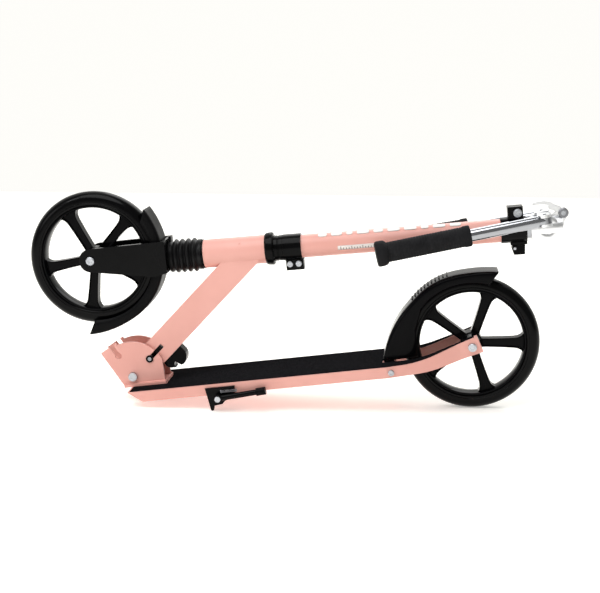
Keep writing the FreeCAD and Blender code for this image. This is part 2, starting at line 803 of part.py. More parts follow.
guard_solid = slab(guard_path(0, skirt_radius, 0), -guard_half, guard_half)
guard_core = slab(
    guard_path(guard_wall, skirt_radius - 4, 4), -guard_half + guard_wall, guard_half - guard_wall
)
guard_boss = box((guard_radius - 1.6, -7, -10), (crown_start, 7, 4))
node("front_mudguard", fuse(cut(guard_solid, guard_core), guard_boss), front_axle_frame)


# --------------------------------------------------------------------- wheels
def wheel(name, frame, spoke_turn, left, right):
    """Tyre, spoked rim, two bearings, axle and nut for one wheel."""
    rim_seat = wheel_radius - tyre_depth
    half = tyre_width / 2
    shoulder = wheel_radius - half + 4
    tyre_path = [
        (rim_seat, -half + 1.2),
        (rim_seat + 1.2, -half),
        (shoulder, -half),
        (shoulder, half, (half * half + (wheel_radius - shoulder) * (wheel_radius - shoulder))
         / (2 * (wheel_radius - shoulder))),
        (rim_seat + 1.2, half),
        (rim_seat, half - 1.2),
    ]
    node(name + "_tyre", turned(tyre_path, (0, 0, 0), "y"), frame)

    ring_low = rim_seat - rim_lip
    body = doc.addObject("PartDesign::Body", "Rim")
    ring_path = [
        (ring_low, -rim_width / 2),
        (rim_seat, -rim_width / 2),
        (rim_seat, rim_width / 2),
        (ring_low, rim_width / 2),
    ]
    hub_path = [
        (axle_radius + 3, -hub_half),
        (hub_nose_radius, -hub_half),
        (hub_nose_radius, -spoke_half_depth - 6),
        (hub_radius, -spoke_half_depth - 2),
        (hub_radius, spoke_half_depth + 2),
        (hub_nose_radius, spoke_half_depth + 6),
        (hub_nose_radius, hub_half),
        (axle_radius + 3, hub_half),
    ]
    hub = turned(hub_path, (0, 0, 0), "y")
    ring = turned(ring_path, (0, 0, 0), "y")
    spoke_path = [
        (hub_radius - 3, -spoke_root / 2),
        (ring_low - 9, -spoke_root / 2 - 0.8),
        (ring_low + 1.5, -spoke_tip / 2, -14.0),
        (ring_low + 1.5, spoke_tip / 2),
        (ring_low - 9, spoke_root / 2 + 0.8, -14.0),
        (hub_radius - 3, spoke_root / 2),
    ]
    sketch = outline(body, "XZ_Plane", spoke_path)
    pad = body.newObject("PartDesign::Pad", "Spoke")
    pad.Profile = sketch
    pad.Midplane = True
    bind(pad, "Length", spoke_half_depth * 2)
    pattern = body.newObject("PartDesign::PolarPattern", "Spokes")
    pattern.Originals = [pad]
    pattern.Axis = (origin_plane(body, "Y_Axis"), [""])
    pattern.Angle = 360
    pattern.Occurrences = spoke_count
    body.Tip = pattern
    body.Placement = FreeCAD.Placement(V(0, 0, 0), FreeCAD.Rotation(V(0, 1, 0), -spoke_turn))
    seat_radius = bearing_radius
    seats = []
    for low in (-hub_half - 1, hub_half - bearing_width):
        seats.append(cylinder(seat_radius, bearing_width + 1, (0, low, 0), "y"))
    node(name + "_rim", cut(fuse(hub, ring, body), *seats), frame)
    for side, low in (("left", -hub_half), ("right", hub_half - bearing_width)):
        race = tube(bearing_radius, axle_radius + run_gap, bearing_width, (0, low, 0), "y")
        node("%s_bearing_%s" % (name, side), race, frame)
    head = cylinder(6.2, 3.6, (0, -left - 3.6, 0), "y")
    shank = cylinder(axle_radius, left + right + 3.6 + 7.5, (0, -left - 3.6, 0), "y")
    node(name + "_axle", fuse(head, shank), frame)
    node(name + "_axle_nut", tube(6.6, axle_radius, 6.0, (0, right, 0), "y"), frame)


wheel("front", front_axle_frame, 49 - 5.4, fork_outer, fork_outer)
wheel("rear", deck_frame, 1 - deck_tilt, arm_half, arm_half)

# --------------------------------------------------------------- brake fender
brake_front = brake_pin_x - 12.5
fender_back_angle = 64.6


def fender_path(drop):
    """Brake fender side view; drop moves the crest in towards the tyre."""
    crest = brake_radius - drop
    return [
        (brake_front + 54, brake_pin_z + 17.5),
        (brake_front + 54, brake_pin_z + 48),
        polar(skirt_radius, 140) + (-94.0,),
        polar(skirt_radius, fender_back_angle + 4) + (-skirt_radius,),
        polar(crest + 8.6, fender_back_angle),
        polar(crest, 100) + (crest + 38,),
        polar(crest + 2.2, 138) + (crest,),
        (brake_front + drop + 2, brake_pin_z + 22, 150.0),
        (brake_front + drop, brake_pin_z + 17.5),
    ]


fender_core_path = fender_path(brake_wall)
fender_core_path[0] = (brake_front + 80, brake_pin_z - 30)
fender_core_path[1] = (brake_front + 80, brake_pin_z + 30)
fender_core_path[2] = polar(skirt_radius - 12, 140)
fender_core_path[3] = polar(skirt_radius - 12, 50) + (-(skirt_radius - 12),)
fender_core_path[4] = polar(brake_radius + 5, 50)
fender_core_path[8] = (brake_front + brake_wall, brake_pin_z - 30)
fender_solid = slab(fender_path(0), -brake_half, brake_half)
fender_core = slab(fender_core_path, -brake_half + brake_wall, brake_half - brake_wall)
fender_foot = box(
    (brake_front + 2.5, -brake_half, brake_pin_z - 5),
    (brake_pin_x + 6, brake_half, brake_pin_z + 19),
)
spring_room = box(
    (brake_front - 1, -8.5, brake_pin_z - 8), (brake_pin_x + 8, 8.5, brake_pin_z + 7)
)
rod_hole = cylinder(
    brake_pin_radius + run_gap, brake_half * 2 + 2, (brake_pin_x, -brake_half - 1, brake_pin_z), "y"
)
fender = cut(fuse(cut(fender_solid, fender_core), fender_foot), spring_room, rod_hole)
node("rear_fender", fender, deck_frame)
strip_path = [
    polar(brake_radius + 1.2, 103),
    polar(brake_radius + 1.6, 135) + (brake_radius + 1.2,),
    polar(brake_radius + 0.2, 134),
    polar(brake_radius - 0.1, 103) + (-brake_radius,),
]
node("fender_grip_strip", slab(strip_path, -9, 9), deck_frame)
node(
    "fender_rod",
    cylinder(brake_pin_radius, deck_half * 2 + 0.6, (brake_pin_x, -deck_half - 0.3, brake_pin_z), "y"),
    deck_frame,
)
node(
    "fender_spring",
    tube(5.2, brake_pin_radius + 0.3, 14, (brake_pin_x, -7, brake_pin_z), "y"),
    deck_frame,
)

# ----------------------------------------------------------------- side stand
plate_y = -deck_half
plate_out = plate_y - stand_plate
stand_path = [
    (stand_x - 18.7, deck_top - 4.4),
    (spur_x - 2.2, spur_z + 1.4),
    (spur_x, spur_z),
    (spur_x + 2.6, spur_z + 1.6),
    (spur_x + 4, spur_z + 7.6),
    (stand_x + 4.5, stand_z - 10.6),
    (stand_x + 9, stand_z - 6),
    (stand_x + 24, stand_z - 2),
    (stand_x + 26, deck_top - 4.4),
]
stand_hole = cylinder(3.0, 20, (stand_x, plate_out - 1, stand_z), "y")
rib = box((stand_x - 14, plate_out - 1.4, deck_top - 9), (stand_x + 22, plate_out + 1, deck_top - 5.5))
bracket_body = cut(fuse(slab(stand_path, plate_out, plate_y), rib), stand_hole)
node("kickstand_bracket", bracket_body, deck_frame)

leg_y = plate_out - gap - stand_leg_radius
leg_boss = cylinder(6.4, stand_leg_radius * 2, (0, leg_y - stand_leg_radius, 0), "y")
leg_bar = cylinder(stand_leg_radius - 0.3, stand_leg - 12, (0, leg_y, 0), "x")
leg_hole = cylinder(3.0 + run_gap, 30, (0, leg_y - 15, 0), "y")
stand_frame = deck_frame * tilt((stand_x, 0, stand_z), 4.0)
node("kickstand_leg", cut(fuse(leg_boss, leg_bar), leg_hole), stand_frame)
foot_sleeve = cylinder(5.8, 14, (stand_leg - 12, leg_y, 0), "x")
node("kickstand_foot", foot_sleeve, stand_frame)
stand_pin = cylinder(
    3.0, stand_leg_radius * 2 + gap + stand_plate + 0.6,
    (stand_x, leg_y - stand_leg_radius - 0.6, stand_z), "y",
)
stand_pin_head = cylinder(
    4.4, 1.6, (stand_x, leg_y - stand_leg_radius - 2.0, stand_z), "y"
)
node("kickstand_bolt", fuse(stand_pin, stand_pin_head), deck_frame)
node(
    "kickstand_spring",
    tube(2.6, 1.5, 26, (stand_x + 4, leg_y + 1, stand_z + 9.6), "x"),
    deck_frame,
)

# ----------------------------------------------------------------------- stem
node(
    "stem_tube",
    tube(stem_radius, stem_bore, stem_end - stem_start, (stem_start, 0, 0), "x"),
    stem_frame,
)
lower_collar_end = stem_start + 27
collar_radius = stem_radius + collar_wall
collar = tube(
    collar_radius, stem_radius + 0.02, lower_collar_end - stem_start, (stem_start, 0, 0), "x"
)
ear_low = -collar_radius - 14
ear_box = box((stem_start + 2, -8, ear_low), (lower_collar_end + 1.5, 8, -stem_radius - 1))
ear_slit = box((stem_start - 1, -1.2, ear_low - 1), (lower_collar_end + 3, 1.2, -stem_radius + 0.3))
ear_bolt_z = -collar_radius - 4.6
bolt_spots = (("lower", stem_start + 8), ("upper", stem_start + 21))
bolt_holes = []
for side, spot in bolt_spots:
    bolt_holes.append(cylinder(2.5, 20, (spot, -10, ear_bolt_z), "y"))
node("stem_clamp", cut(fuse(collar, ear_box), ear_slit, *bolt_holes), stem_frame)
for side, spot in bolt_spots:
    screw_head = cylinder(4.4, 3.4, (spot, -11.4, ear_bolt_z), "y")
    screw_shank = cylinder(2.5, 19.4, (spot, -11.4, ear_bolt_z), "y")
    node("stem_clamp_bolt_" + side, fuse(screw_head, screw_shank), stem_frame)

# Upper clamp: collar at the stem's end, bolt block above, cam lever below.
upper_start = stem_end - 33
upper_end = stem_end + 4
upper_radius = collar_radius - 0.6
upper_collar = tube(
    upper_radius, stem_radius + 0.02, upper_end - upper_start, (upper_start, 0, 0), "x"
)
lip = tube(
    upper_radius, slider_radius + run_gap, upper_end - stem_end, (stem_end, 0, 0), "x"
)
bolt_block = box((stem_end - 22, -11, stem_radius + 0.5), (stem_end, 11, 34.5))
block_slit = box((stem_end - 34, -1.2, stem_radius - 0.5), (stem_end + 5, 1.2, 36))
block_bolt_z = as_size(25.4)
block_bolt_x = stem_end - 8
block_hole = cylinder(3.0, 26, (block_bolt_x, -13, block_bolt_z), "y")
cam_x = stem_end - 14.5
cam_z = -collar_radius - 7.2
cam_plate = box((stem_end - 20, -6, -collar_radius - 2.5), (stem_end + 4, 6, -stem_radius - 1))
cam_eye = cylinder(3.8, 10, (cam_x, -5, cam_z), "y")
cam_web = box((cam_x - 3.8, -5, cam_z), (cam_x + 3.8, 5, -stem_radius - 1))
cam_hole = cylinder(2.0, 26, (cam_x, -13, cam_z), "y")
upper_clamp = cut(
    fuse(upper_collar, lip, bolt_block, cam_plate, cam_eye, cam_web), block_slit, block_hole, cam_hole
)
node("upper_clamp", upper_clamp, stem_frame)
block_screw = cylinder(6.0, 4, (block_bolt_x, -15, block_bolt_z), "y")
block_shank = cylinder(3.0, 27.5, (block_bolt_x, -15, block_bolt_z), "y")
node("upper_clamp_bolt", fuse(block_screw, block_shank), stem_frame)
node("cam_pin", cylinder(2.0, 18, (cam_x, -9, cam_z), "y"), stem_frame)
# The lever lies under the slider and swings down about the cam pin.
lever_path = [
    (cam_x + 15, cam_z + 4.2),
    (cam_x, cam_z + 4.2),
    (cam_x - 4.2, cam_z, 4.2),
    (cam_x - 1.5, cam_z - 9.3),
    (cam_x + 14, cam_z - 9.3),
]
lever_room = cylinder(3.8 + gap, 10 + 2 * gap, (cam_x, -5 - gap, cam_z), "y")
lever_face = box((cam_x - 6, -5 - gap, cam_z - 12), (cam_x + 3.8 + gap, 5 + gap, cam_z + 5))
lever_hole = cylinder(2.0 + run_gap, 26, (cam_x, -13, cam_z), "y")
clamp_lever = cut(slab(lever_path, -8.5, 8.5), lever_room, lever_face, lever_hole)
node("clamp_lever", clamp_lever, stem_frame)

# ------------------------------------------------------------------ handlebar
node(
    "slider_tube",
    tube(slider_radius, slider_bore, slider_end - slider_start, (slider_start, 0, 0), "x"),
    stem_frame,
)
sleeve_start = upper_end + 6
socket = cylinder(slider_radius + 2.6, slider_end + 3 - sleeve_start, (sleeve_start, 0, 0), "x")
barrel = cylinder(tee_radius, tee_half * 2, (tee_at, -tee_half, 0), "y")
hinge_ear = as_size(4.6)
ear_thick = as_size(4.0)
saddle = box(
    (hinge_x - 9, -tee_half + 0.5, hinge_z - 6),
    (hinge_x + 9, tee_half - 0.5, hinge_z + hinge_ear + ear_thick - 1.2),
)
slider_room = cylinder(slider_radius, slider_end - sleeve_start + 1, (sleeve_start - 1, 0, 0), "x")
lever_pivot = (tee_at + 24, rake + 12)
lever_arm = slab(
    [
        (tee_at - 4, rake),
        (tee_at + 6, -13),
        (tee_at + 20, -9),
        (lever_pivot[0] + 7.5, lever_pivot[1]),
        (lever_pivot[0], lever_pivot[1] + 7.5, 7.5),
        (tee_at + 4, tee_radius - 1),
    ],
    -4.5,
    4.5,
)


def hinge_ears(side):
    """Two ears that hold one handle's tongue, square to the hinge pin."""
    parts = []
    for low in (hinge_ear, -hinge_ear - ear_thick):
        disc = cylinder(9.5, ear_thick, (0, 0, low), "z")
        inward = -side * 16
        near = min(0, inward)
        far = max(0, inward)
        web = box((-9.5, near, low), (9.5, far, low + ear_thick))
        parts.append(disc)
        parts.append(web)
    pair = fuse(*parts)
    pair.Placement = tilt((hinge_x, side * hinge_half, hinge_z), handle_drop)
    return pair


def hinge_bar(side, radius, low, high):
    """Round bar on a handle's hinge axis."""
    bar = cylinder(radius, as_size(high) - low, (0, 0, 0), "z")
    lift = FreeCAD.Placement(V(0, 0, number(low)), FreeCAD.Rotation())
    bar.Placement = tilt((hinge_x, side * hinge_half, hinge_z), handle_drop) * lift
    return bar


ear_outer = hinge_ear + ear_thick
tee_holes = [slider_room, cylinder(3.0, 30, (lever_pivot[0], -15, lever_pivot[1]), "y")]
# Pockets in which the lever's cheeks turn.
for low in (-9.5, 4.5):
    tee_holes.append(cylinder(7.7, 5, (lever_pivot[0], low, lever_pivot[1]), "y"))
for side in (-1, 1):
    tee_holes.append(hinge_bar(side, 2.5, -ear_outer - 1, ear_outer + 1))
    swing = hinge_bar(side, 10.2, -hinge_ear, hinge_ear)
    tee_holes.append(swing)
tee_body = fuse(socket, barrel, saddle, lever_arm, hinge_ears(-1), hinge_ears(1))
tee_head = cut(tee_body, *tee_holes)
node("t_head", tee_head, stem_frame)

lever_frame = stem_frame * tilt((lever_pivot[0], 0, lever_pivot[1]), 0)
lever_cheek_path = [
    (-6.5, -2.5),
    (0, -6.5, 6.5),
    (6.5, 0, 6.5),
    (0, 6.5, 6.5),
    (-14, 13),
    (-21, 15),
    (-20, 7.5),
    (-10, 3),
]
lever_left = slab(lever_cheek_path, -8.5, -4.5 - gap)
lever_right = slab(lever_cheek_path, 4.5 + gap, 8.5)
lever_blade = slab(
    [
        (-14, 9.3),
        (-13, 14),
        (-27, 19.5, 30.0),
        (-43, 17.5, 40.0),
        (-42.6, 13.4),
        (-27, 15, -40.0),
    ],
    -8.5,
    8.5,
)
t_lever_hole = cylinder(3.0 + run_gap, 20, (0, -10, 0), "y")
node("t_lever", cut(fuse(lever_left, lever_right, lever_blade), t_lever_hole), lever_frame)
lever_bolt_head = cylinder(5.2, 2.8, (0, -8.5 - gap - 2.8, 0), "y")
lever_bolt_bar = cylinder(3.0, 20.6, (0, -8.5 - gap - 2.8, 0), "y")
node("t_lever_bolt", fuse(lever_bolt_head, lever_bolt_bar), lever_frame)

tongue_start = as_size(10.8)
for side, side_name in ((-1, "left"), (1, "right")):
    frame = handle_frame(side)
    tongue_half = hinge_ear - gap
    eye = cylinder(handle_radius, tongue_half * 2, (0, 0, -tongue_half), "z")
    tongue = box((0, -handle_radius, -tongue_half), (24, handle_radius, tongue_half))
    bar = cylinder(handle_radius, handle_length - tongue_start - 2.5, (tongue_start, 0, 0), "x")
    bore = cylinder(handle_radius - 1.8, handle_length, (30, 0, 0), "x")
    tongue_round = common(tongue, cylinder(handle_radius, 60, (-20, 0, 0), "x"))
    pin_hole = cylinder(2.5 + run_gap, 20, (0, 0, -10), "z")
    node(side_name + "_handle", cut(fuse(eye, tongue_round, bar), bore, pin_hole), frame)
    grip_start = handle_length - grip_length
    grip_path = [
        (handle_radius, 0),
        (grip_radius, 0),
        (grip_radius + 0.6, 1.5),
        (grip_radius + 0.6, 9),
        (grip_radius - 0.4, 10.5),
        (grip_radius - 0.4, grip_length - 17),
        (flange_radius - 0.8, grip_length - 13),
        (flange_radius, grip_length - 3),
        (flange_radius - 1.6, grip_length),
        (0, grip_length),
        (0, grip_length - 2.5),
        (handle_radius, grip_length - 2.5),
    ]
    node(side_name + "_grip", turned(grip_path, (grip_start, 0, 0), "x"), frame)
    pin_length = ear_outer * 2 + 2
    pin = cylinder(2.5, pin_length, (0, 0, -ear_outer - 1), "z")
    node(side_name + "_handle_pin", pin, frame)

# -------------------------------------------------------- place, check, write
doc.recompute()
low = V(1e9, 1e9, 1e9)
high = V(-1e9, -1e9, -1e9)
for name, (piece, frame) in nodes.items():
    piece.Placement = frame * piece.Placement
doc.recompute()
for name, (piece, frame) in nodes.items():
    bounds = piece.Shape.optimalBoundingBox(False, False)
    low = V(min(low.x, bounds.XMin), min(low.y, bounds.YMin), min(low.z, bounds.ZMin))
    high = V(max(high.x, bounds.XMax), max(high.y, bounds.YMax), max(high.z, bounds.ZMax))
# The origin is the middle of the footprint, on the ground.
shift = FreeCAD.Placement(V(-(low.x + high.x) / 2, 0, -low.z), FreeCAD.Rotation())
for name, (piece, frame) in nodes.items():
    piece.Placement = shift * piece.Placement
doc.recompute()

for item in doc.Objects:
    if "Invalid" in item.State or "Error" in item.State:
        raise RuntimeError("%s (%s) failed: %s" % (item.Name, item.Label, item.State))
for name, (piece, frame) in nodes.items():
    if piece.Shape.isNull() or not piece.Shape.isValid():
        raise RuntimeError("%s has no valid shape" % name)
    if len(piece.Shape.Solids) != 1:
        raise RuntimeError("%s has %d solids" % (name, len(piece.Shape.Solids)))

os.makedirs("parts", exist_ok=True)
for name, (piece, frame) in nodes.items():
    piece.Shape.exportStep("parts/%s.step" % name)
    print("%-24s %10.1f mm3" % (name, piece.Shape.Volume))
print("%d pieces, %.1f x %.1f x %.1f mm" % ((len(nodes),) + tuple(high - low)))
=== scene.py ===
"""Folding kick scooter: finishes, fine pieces, floor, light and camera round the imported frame."""
import json
import math

import bmesh
import bpy
from bpy.props import FloatProperty, FloatVectorProperty, IntProperty, PointerProperty
from bpy.types import Operator, Panel, PropertyGroup
from mathutils import Matrix, Vector


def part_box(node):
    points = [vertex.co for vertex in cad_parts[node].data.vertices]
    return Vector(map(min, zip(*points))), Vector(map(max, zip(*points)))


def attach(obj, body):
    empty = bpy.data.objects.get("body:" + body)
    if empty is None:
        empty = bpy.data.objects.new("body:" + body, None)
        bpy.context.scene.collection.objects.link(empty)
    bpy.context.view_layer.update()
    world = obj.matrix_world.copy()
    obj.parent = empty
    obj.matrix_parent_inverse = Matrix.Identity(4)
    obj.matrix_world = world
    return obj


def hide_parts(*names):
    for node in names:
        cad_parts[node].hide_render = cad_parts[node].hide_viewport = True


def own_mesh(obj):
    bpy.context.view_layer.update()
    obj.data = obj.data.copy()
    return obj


bl_info = {
    "name": "Folding kick scooter",
    "version": (1, 0),
    "blender": (4, 5, 0),
    "location": "3D View > Sidebar > Scooter",
    "description": "Builds the finishes and fine pieces of a folding kick scooter on its frame",
    "category": "Object",
}

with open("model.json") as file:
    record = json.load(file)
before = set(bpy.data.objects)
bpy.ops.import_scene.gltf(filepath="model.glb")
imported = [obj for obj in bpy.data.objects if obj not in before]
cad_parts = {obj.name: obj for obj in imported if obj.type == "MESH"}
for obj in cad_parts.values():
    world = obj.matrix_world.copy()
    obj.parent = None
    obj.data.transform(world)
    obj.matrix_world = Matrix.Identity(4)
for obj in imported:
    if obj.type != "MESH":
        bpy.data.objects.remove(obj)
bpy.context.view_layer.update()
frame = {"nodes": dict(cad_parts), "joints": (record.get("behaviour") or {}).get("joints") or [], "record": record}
record = frame["record"]
joints = {joint["name"]: joint for joint in frame["joints"]}
mounts = {mount["name"]: mount for mount in record["mounts"]}
MM = 0.001


# ------------------------------------------------------------------ placement
def side_frame(origin, along):
    """Placement whose X runs along a direction in the side view and whose Y is the object's Y."""
    x = Vector(along).normalized()
    y = Vector((0, 1, 0))
    z = x.cross(y)
    return Matrix.Translation(Vector(origin)) @ Matrix((x, y, z)).transposed().to_4x4()


def handle_place(name, side):
    """Placement of a handle: X from its hinge to the grip, Z on the hinge axis."""
    joint = joints[name]
    z = Vector(joint["axis"]).normalized() * (1 if side < 0 else -1)
    ahead = Vector((0, 1, 0)).cross(z)
    turn = math.radians(180 - side * 6.8)
    x = ahead * math.cos(turn) + Vector((0, 1, 0)) * math.sin(turn)
    y = z.cross(x)
    start = Matrix.Translation(Vector(joint["pos_m"]))
    return start @ Matrix((x, y, z)).transposed().to_4x4()


deck_up = -Vector(mounts["deck_underside"]["axis"])
deck_along = Vector((0, 1, 0)).cross(deck_up)
stem_up = Vector(joints["steer"]["axis"])
deck_place = side_frame(joints["rear_wheel_spin"]["pos_m"], deck_along)
neck_place = side_frame(joints["stem_fold"]["pos_m"], joints["lock_release"]["axis"])
stem_place = side_frame(Vector(joints["steer"]["pos_m"]) - stem_up * 0.166, stem_up)
front_place = side_frame(joints["front_wheel_spin"]["pos_m"], stem_up)
PLACES = {
    "deck": deck_place,
    "neck": neck_place,
    "stem": stem_place,
    "front": front_place,
    "left": handle_place("left_handle_fold", -1),
    "right": handle_place("right_handle_fold", 1),
}


# ----------------------------------------------------------------- materials
def linear(code):
    """Linear colour of an sRGB hex code."""
    parts = []
    for start in (0, 2, 4):
        value = int(code[start : start + 2], 16) / 255
        parts.append(value / 12.92 if value <= 0.04045 else ((value + 0.055) / 1.055) ** 2.4)
    return (*parts, 1.0)


def add(tree, kind, links=None, **settings):
    """Adds a node; settings name its properties or sockets, links name its input sockets."""
    item = tree.nodes.new(kind)
    for name, value in settings.items():
        if hasattr(item, name):
            setattr(item, name, value)
        else:
            item.inputs[name.replace("_", " ")].default_value = value
    for name, source in (links or {}).items():
        tree.links.new(source, item.inputs[name])
    return item


def new_material(name, colour, metallic=0.0, roughness=0.5, ior=1.5, coat=0.0, specular=0.5):
    material = bpy.data.materials.new(name)
    material.use_nodes = True
    tree = material.node_tree
    shader = tree.nodes["Principled BSDF"]
    shader.inputs["Base Color"].default_value = linear(colour)
    shader.inputs["Metallic"].default_value = metallic
    shader.inputs["Roughness"].default_value = roughness
    shader.inputs["IOR"].default_value = ior
    shader.inputs["Coat Weight"].default_value = coat
    shader.inputs["Coat Roughness"].default_value = 0.08
    shader.inputs["Specular IOR Level"].default_value = specular
    return material, tree, shader


def grain(tree, shader, spacing_mm, height_mm, stretch=(1, 1, 1), detail=2.0, edge_mm=0.5):
    """Fine relief of a real spacing, over corners that are softened by edge_mm."""
    place = add(tree, "ShaderNodeTexCoord").outputs["Object"]
    place = add(tree, "ShaderNodeMapping", {"Vector": place}, Scale=stretch).outputs["Vector"]
    noise = add(
        tree, "ShaderNodeTexNoise", {"Vector": place}, Scale=1000 / spacing_mm, Detail=detail
    )
    corner = add(tree, "ShaderNodeBevel", Radius=edge_mm * MM, samples=6)
    bump = add(
        tree,
        "ShaderNodeBump",
        {"Height": noise.outputs["Fac"], "Normal": corner.outputs["Normal"]},
        Distance=height_mm * MM,
        Strength=1.0,
    )
    tree.links.new(bump.outputs["Normal"], shader.inputs["Normal"])
    return place


def vary(tree, socket, place, spacing_mm, stops):
    """Feeds a socket from slow noise, through stops of (position, colour or grey value)."""
    noise = add(
        tree, "ShaderNodeTexNoise", {"Vector": place}, Scale=1000 / spacing_mm, Detail=3.0
    )
    ramp = add(tree, "ShaderNodeValToRGB", {"Fac": noise.outputs["Fac"]})
    for element, (position, value) in zip(ramp.color_ramp.elements, stops):
        element.position = position
        element.color = linear(value) if isinstance(value, str) else (value, value, value, 1)
    tree.links.new(ramp.outputs["Color"], socket)


def powder_coated_steel(name, colour, deeper, roughness, specular):
    """Powder coat baked on steel: even colour with a soft sheen and faint orange peel."""
    material, tree, shader = new_material(name, colour, 0.0, roughness, 1.5, 0.0, specular)
    place = grain(tree, shader, 1.6, 0.012)
    vary(tree, shader.inputs["Base Color"], place, 60, ((0.35, deeper), (0.65, colour)))
    vary(
        tree, shader.inputs["Roughness"], place, 9,
        ((0.3, roughness - 0.04), (0.7, roughness + 0.05)),
    )
    return material


def moulded_nylon(name, colour, roughness, texture_mm):
    """Glass-filled nylon from a steel mould: deep colour, flow marks and fine spark texture."""
    material, tree, shader = new_material(name, colour, 0.0, roughness, 1.53, 0.0, 0.05)
    place = grain(tree, shader, texture_mm, 0.01 + roughness * 0.05, detail=4.0)
    vary(
        tree, shader.inputs["Roughness"], place, 22,
        ((0.3, max(0.04, roughness - 0.05)), (0.7, roughness + 0.06)),
    )
    return material


def soft_rubber(name, colour, paler, roughness, pore_mm, depth_mm):
    """Moulded rubber or foam: dull and dark, with closed pores that catch a little light."""
    material, tree, shader = new_material(name, colour, 0.0, roughness, 1.52, 0.0, 0.12)
    place = grain(tree, shader, pore_mm, depth_mm, detail=6.0)
    vary(tree, shader.inputs["Base Color"], place, 14, ((0.35, colour), (0.7, paler)))
    return material


def cast_polyurethane():
    """Cast polyurethane tyre: glassy black with faint rings left by the mould."""
    material, tree, shader = new_material("cast_polyurethane", "050506", 0.0, 0.16, 1.5, 0.0, 0.1)
    place = grain(tree, shader, 7.0, 0.02, stretch=(1, 12, 1))
    vary(tree, shader.inputs["Roughness"], place, 30, ((0.3, 0.11), (0.7, 0.24)))
    return material


def grit_tape():
    """Silicon-carbide grip tape: matt charcoal with bright grains, drawn 1.1 mm to show."""
    material, tree, shader = new_material(
        "silicon_carbide_grip_tape", "111113", 0.0, 0.82, 1.6, 0.0, 0.0
    )
    place = grain(tree, shader, 1.1, 0.35, detail=8.0, edge_mm=0.2)
    cells = add(tree, "ShaderNodeTexVoronoi", {"Vector": place}, Scale=1000 / 1.1)
    ramp = add(tree, "ShaderNodeValToRGB", {"Fac": cells.outputs["Color"]})
    stops = ((0.0, "08080A"), (1.0, "232325"))
    for element, (position, value) in zip(ramp.color_ramp.elements, stops):
        element.position = position
        element.color = linear(value)
    tree.links.new(ramp.outputs["Color"], shader.inputs["Base Color"])
    vary(tree, shader.inputs["Roughness"], place, 35, ((0.3, 0.72), (0.7, 0.92)))
    return material


def bare_metal(name, colour, roughness, line_mm, stretch, depth_mm=0.006):
    """Bare metal with the marks of its making: drawn, turned or tumbled."""
    material, tree, shader = new_material(name, colour, 1.0, roughness)
    place = grain(tree, shader, line_mm, depth_mm, stretch=stretch, detail=4.0)
    vary(
        tree, shader.inputs["Roughness"], place, 12,
        ((0.25, max(0.03, roughness - 0.06)), (0.75, roughness + 0.1)),
    )
    return material


def make_materials():
    return {
        "pink": powder_coated_steel("pink_powder_coated_steel", "EAAEA3", "E4A69B", 0.36, 0.35),
        "black_paint": powder_coated_steel("black_enamelled_steel", "050506", "080809", 0.16, 0.09),
        "gloss": moulded_nylon("gloss_black_nylon", "08080A", 0.1, 5.0),
        "satin": moulded_nylon("satin_black_nylon", "0D0D0E", 0.36, 1.2),
        "tyre": cast_polyurethane(),
        "grip": soft_rubber("closed_cell_foam_rubber", "161618", "202022", 0.78, 0.8, 0.12),
        "bellows": soft_rubber("moulded_neoprene", "0B0B0C", "171718", 0.33, 1.5, 0.03),
        "tape": grit_tape(),
        "zinc": bare_metal("zinc_plated_steel", "B9BCC2", 0.26, 0.9, (1, 1, 1), 0.01),
        "spring": bare_metal("drawn_spring_steel", "8C8D92", 0.3, 1.0, (1, 1, 1)),
        "chrome": bare_metal("chromed_steel_tube", "A6A8AD", 0.07, 0.6, (0.04, 1, 1), 0.002),
        "cast": bare_metal("polished_cast_aluminium", "F2F3F5", 0.3, 2.2, (1, 1, 1), 0.02),
        "brass": bare_metal("turned_brass", "C9A24E", 0.24, 0.7, (1, 1, 1)),
        "ink": moulded_nylon("white_screen_print", "F4F1EE", 0.42, 0.8),
        "tick_ink": moulded_nylon("grey_scale_print", "8B7F7C", 0.5, 0.8),
        "film": moulded_nylon("white_vinyl_film", "EDE6E2", 0.34, 1.5),
    }


# ---------------------------------------------------------------- mesh making
def revolve(bm, profile, about="y", steps=96, closed=True):
    """Turns (radius, distance) points, in mm, about the local X or Y axis."""
    rings = []
    for radius, distance in profile:
        ring = []
        for step in range(steps):
            angle = math.tau * step / steps
            a, b = radius * math.cos(angle) * MM, radius * math.sin(angle) * MM
            point = (distance * MM, a, b) if about == "x" else (a, distance * MM, b)
            ring.append(bm.verts.new(point))
        rings.append(ring)
    last = len(rings) if closed else len(rings) - 1
    for index in range(last):
        ring, following = rings[index], rings[(index + 1) % len(rings)]
        for step in range(steps):
            turn = (step + 1) % steps
            bm.faces.new((ring[step], ring[turn], following[turn], following[step]))
    return rings


def prism(bm, outline, low, high):
    """Pushes an (X, Z) outline, in mm, from one Y position to another."""
    near = [bm.verts.new((x * MM, low * MM, z * MM)) for x, z in outline]
    far = [bm.verts.new((x * MM, high * MM, z * MM)) for x, z in outline]
    caps = [bm.faces.new(near), bm.faces.new(list(reversed(far)))]
    count = len(outline)
    for index in range(count):
        following = (index + 1) % count
        bm.faces.new((near[index], far[index], far[following], near[following]))
    return caps


def arc(centre, radius, start, end, steps=12):
    """Points on an arc, in degrees."""
    points = []
    for step in range(steps + 1):
        angle = math.radians(start + (end - start) * step / steps)
        points.append(
            (centre[0] + radius * math.cos(angle), centre[1] + radius * math.sin(angle))
        )
    return points


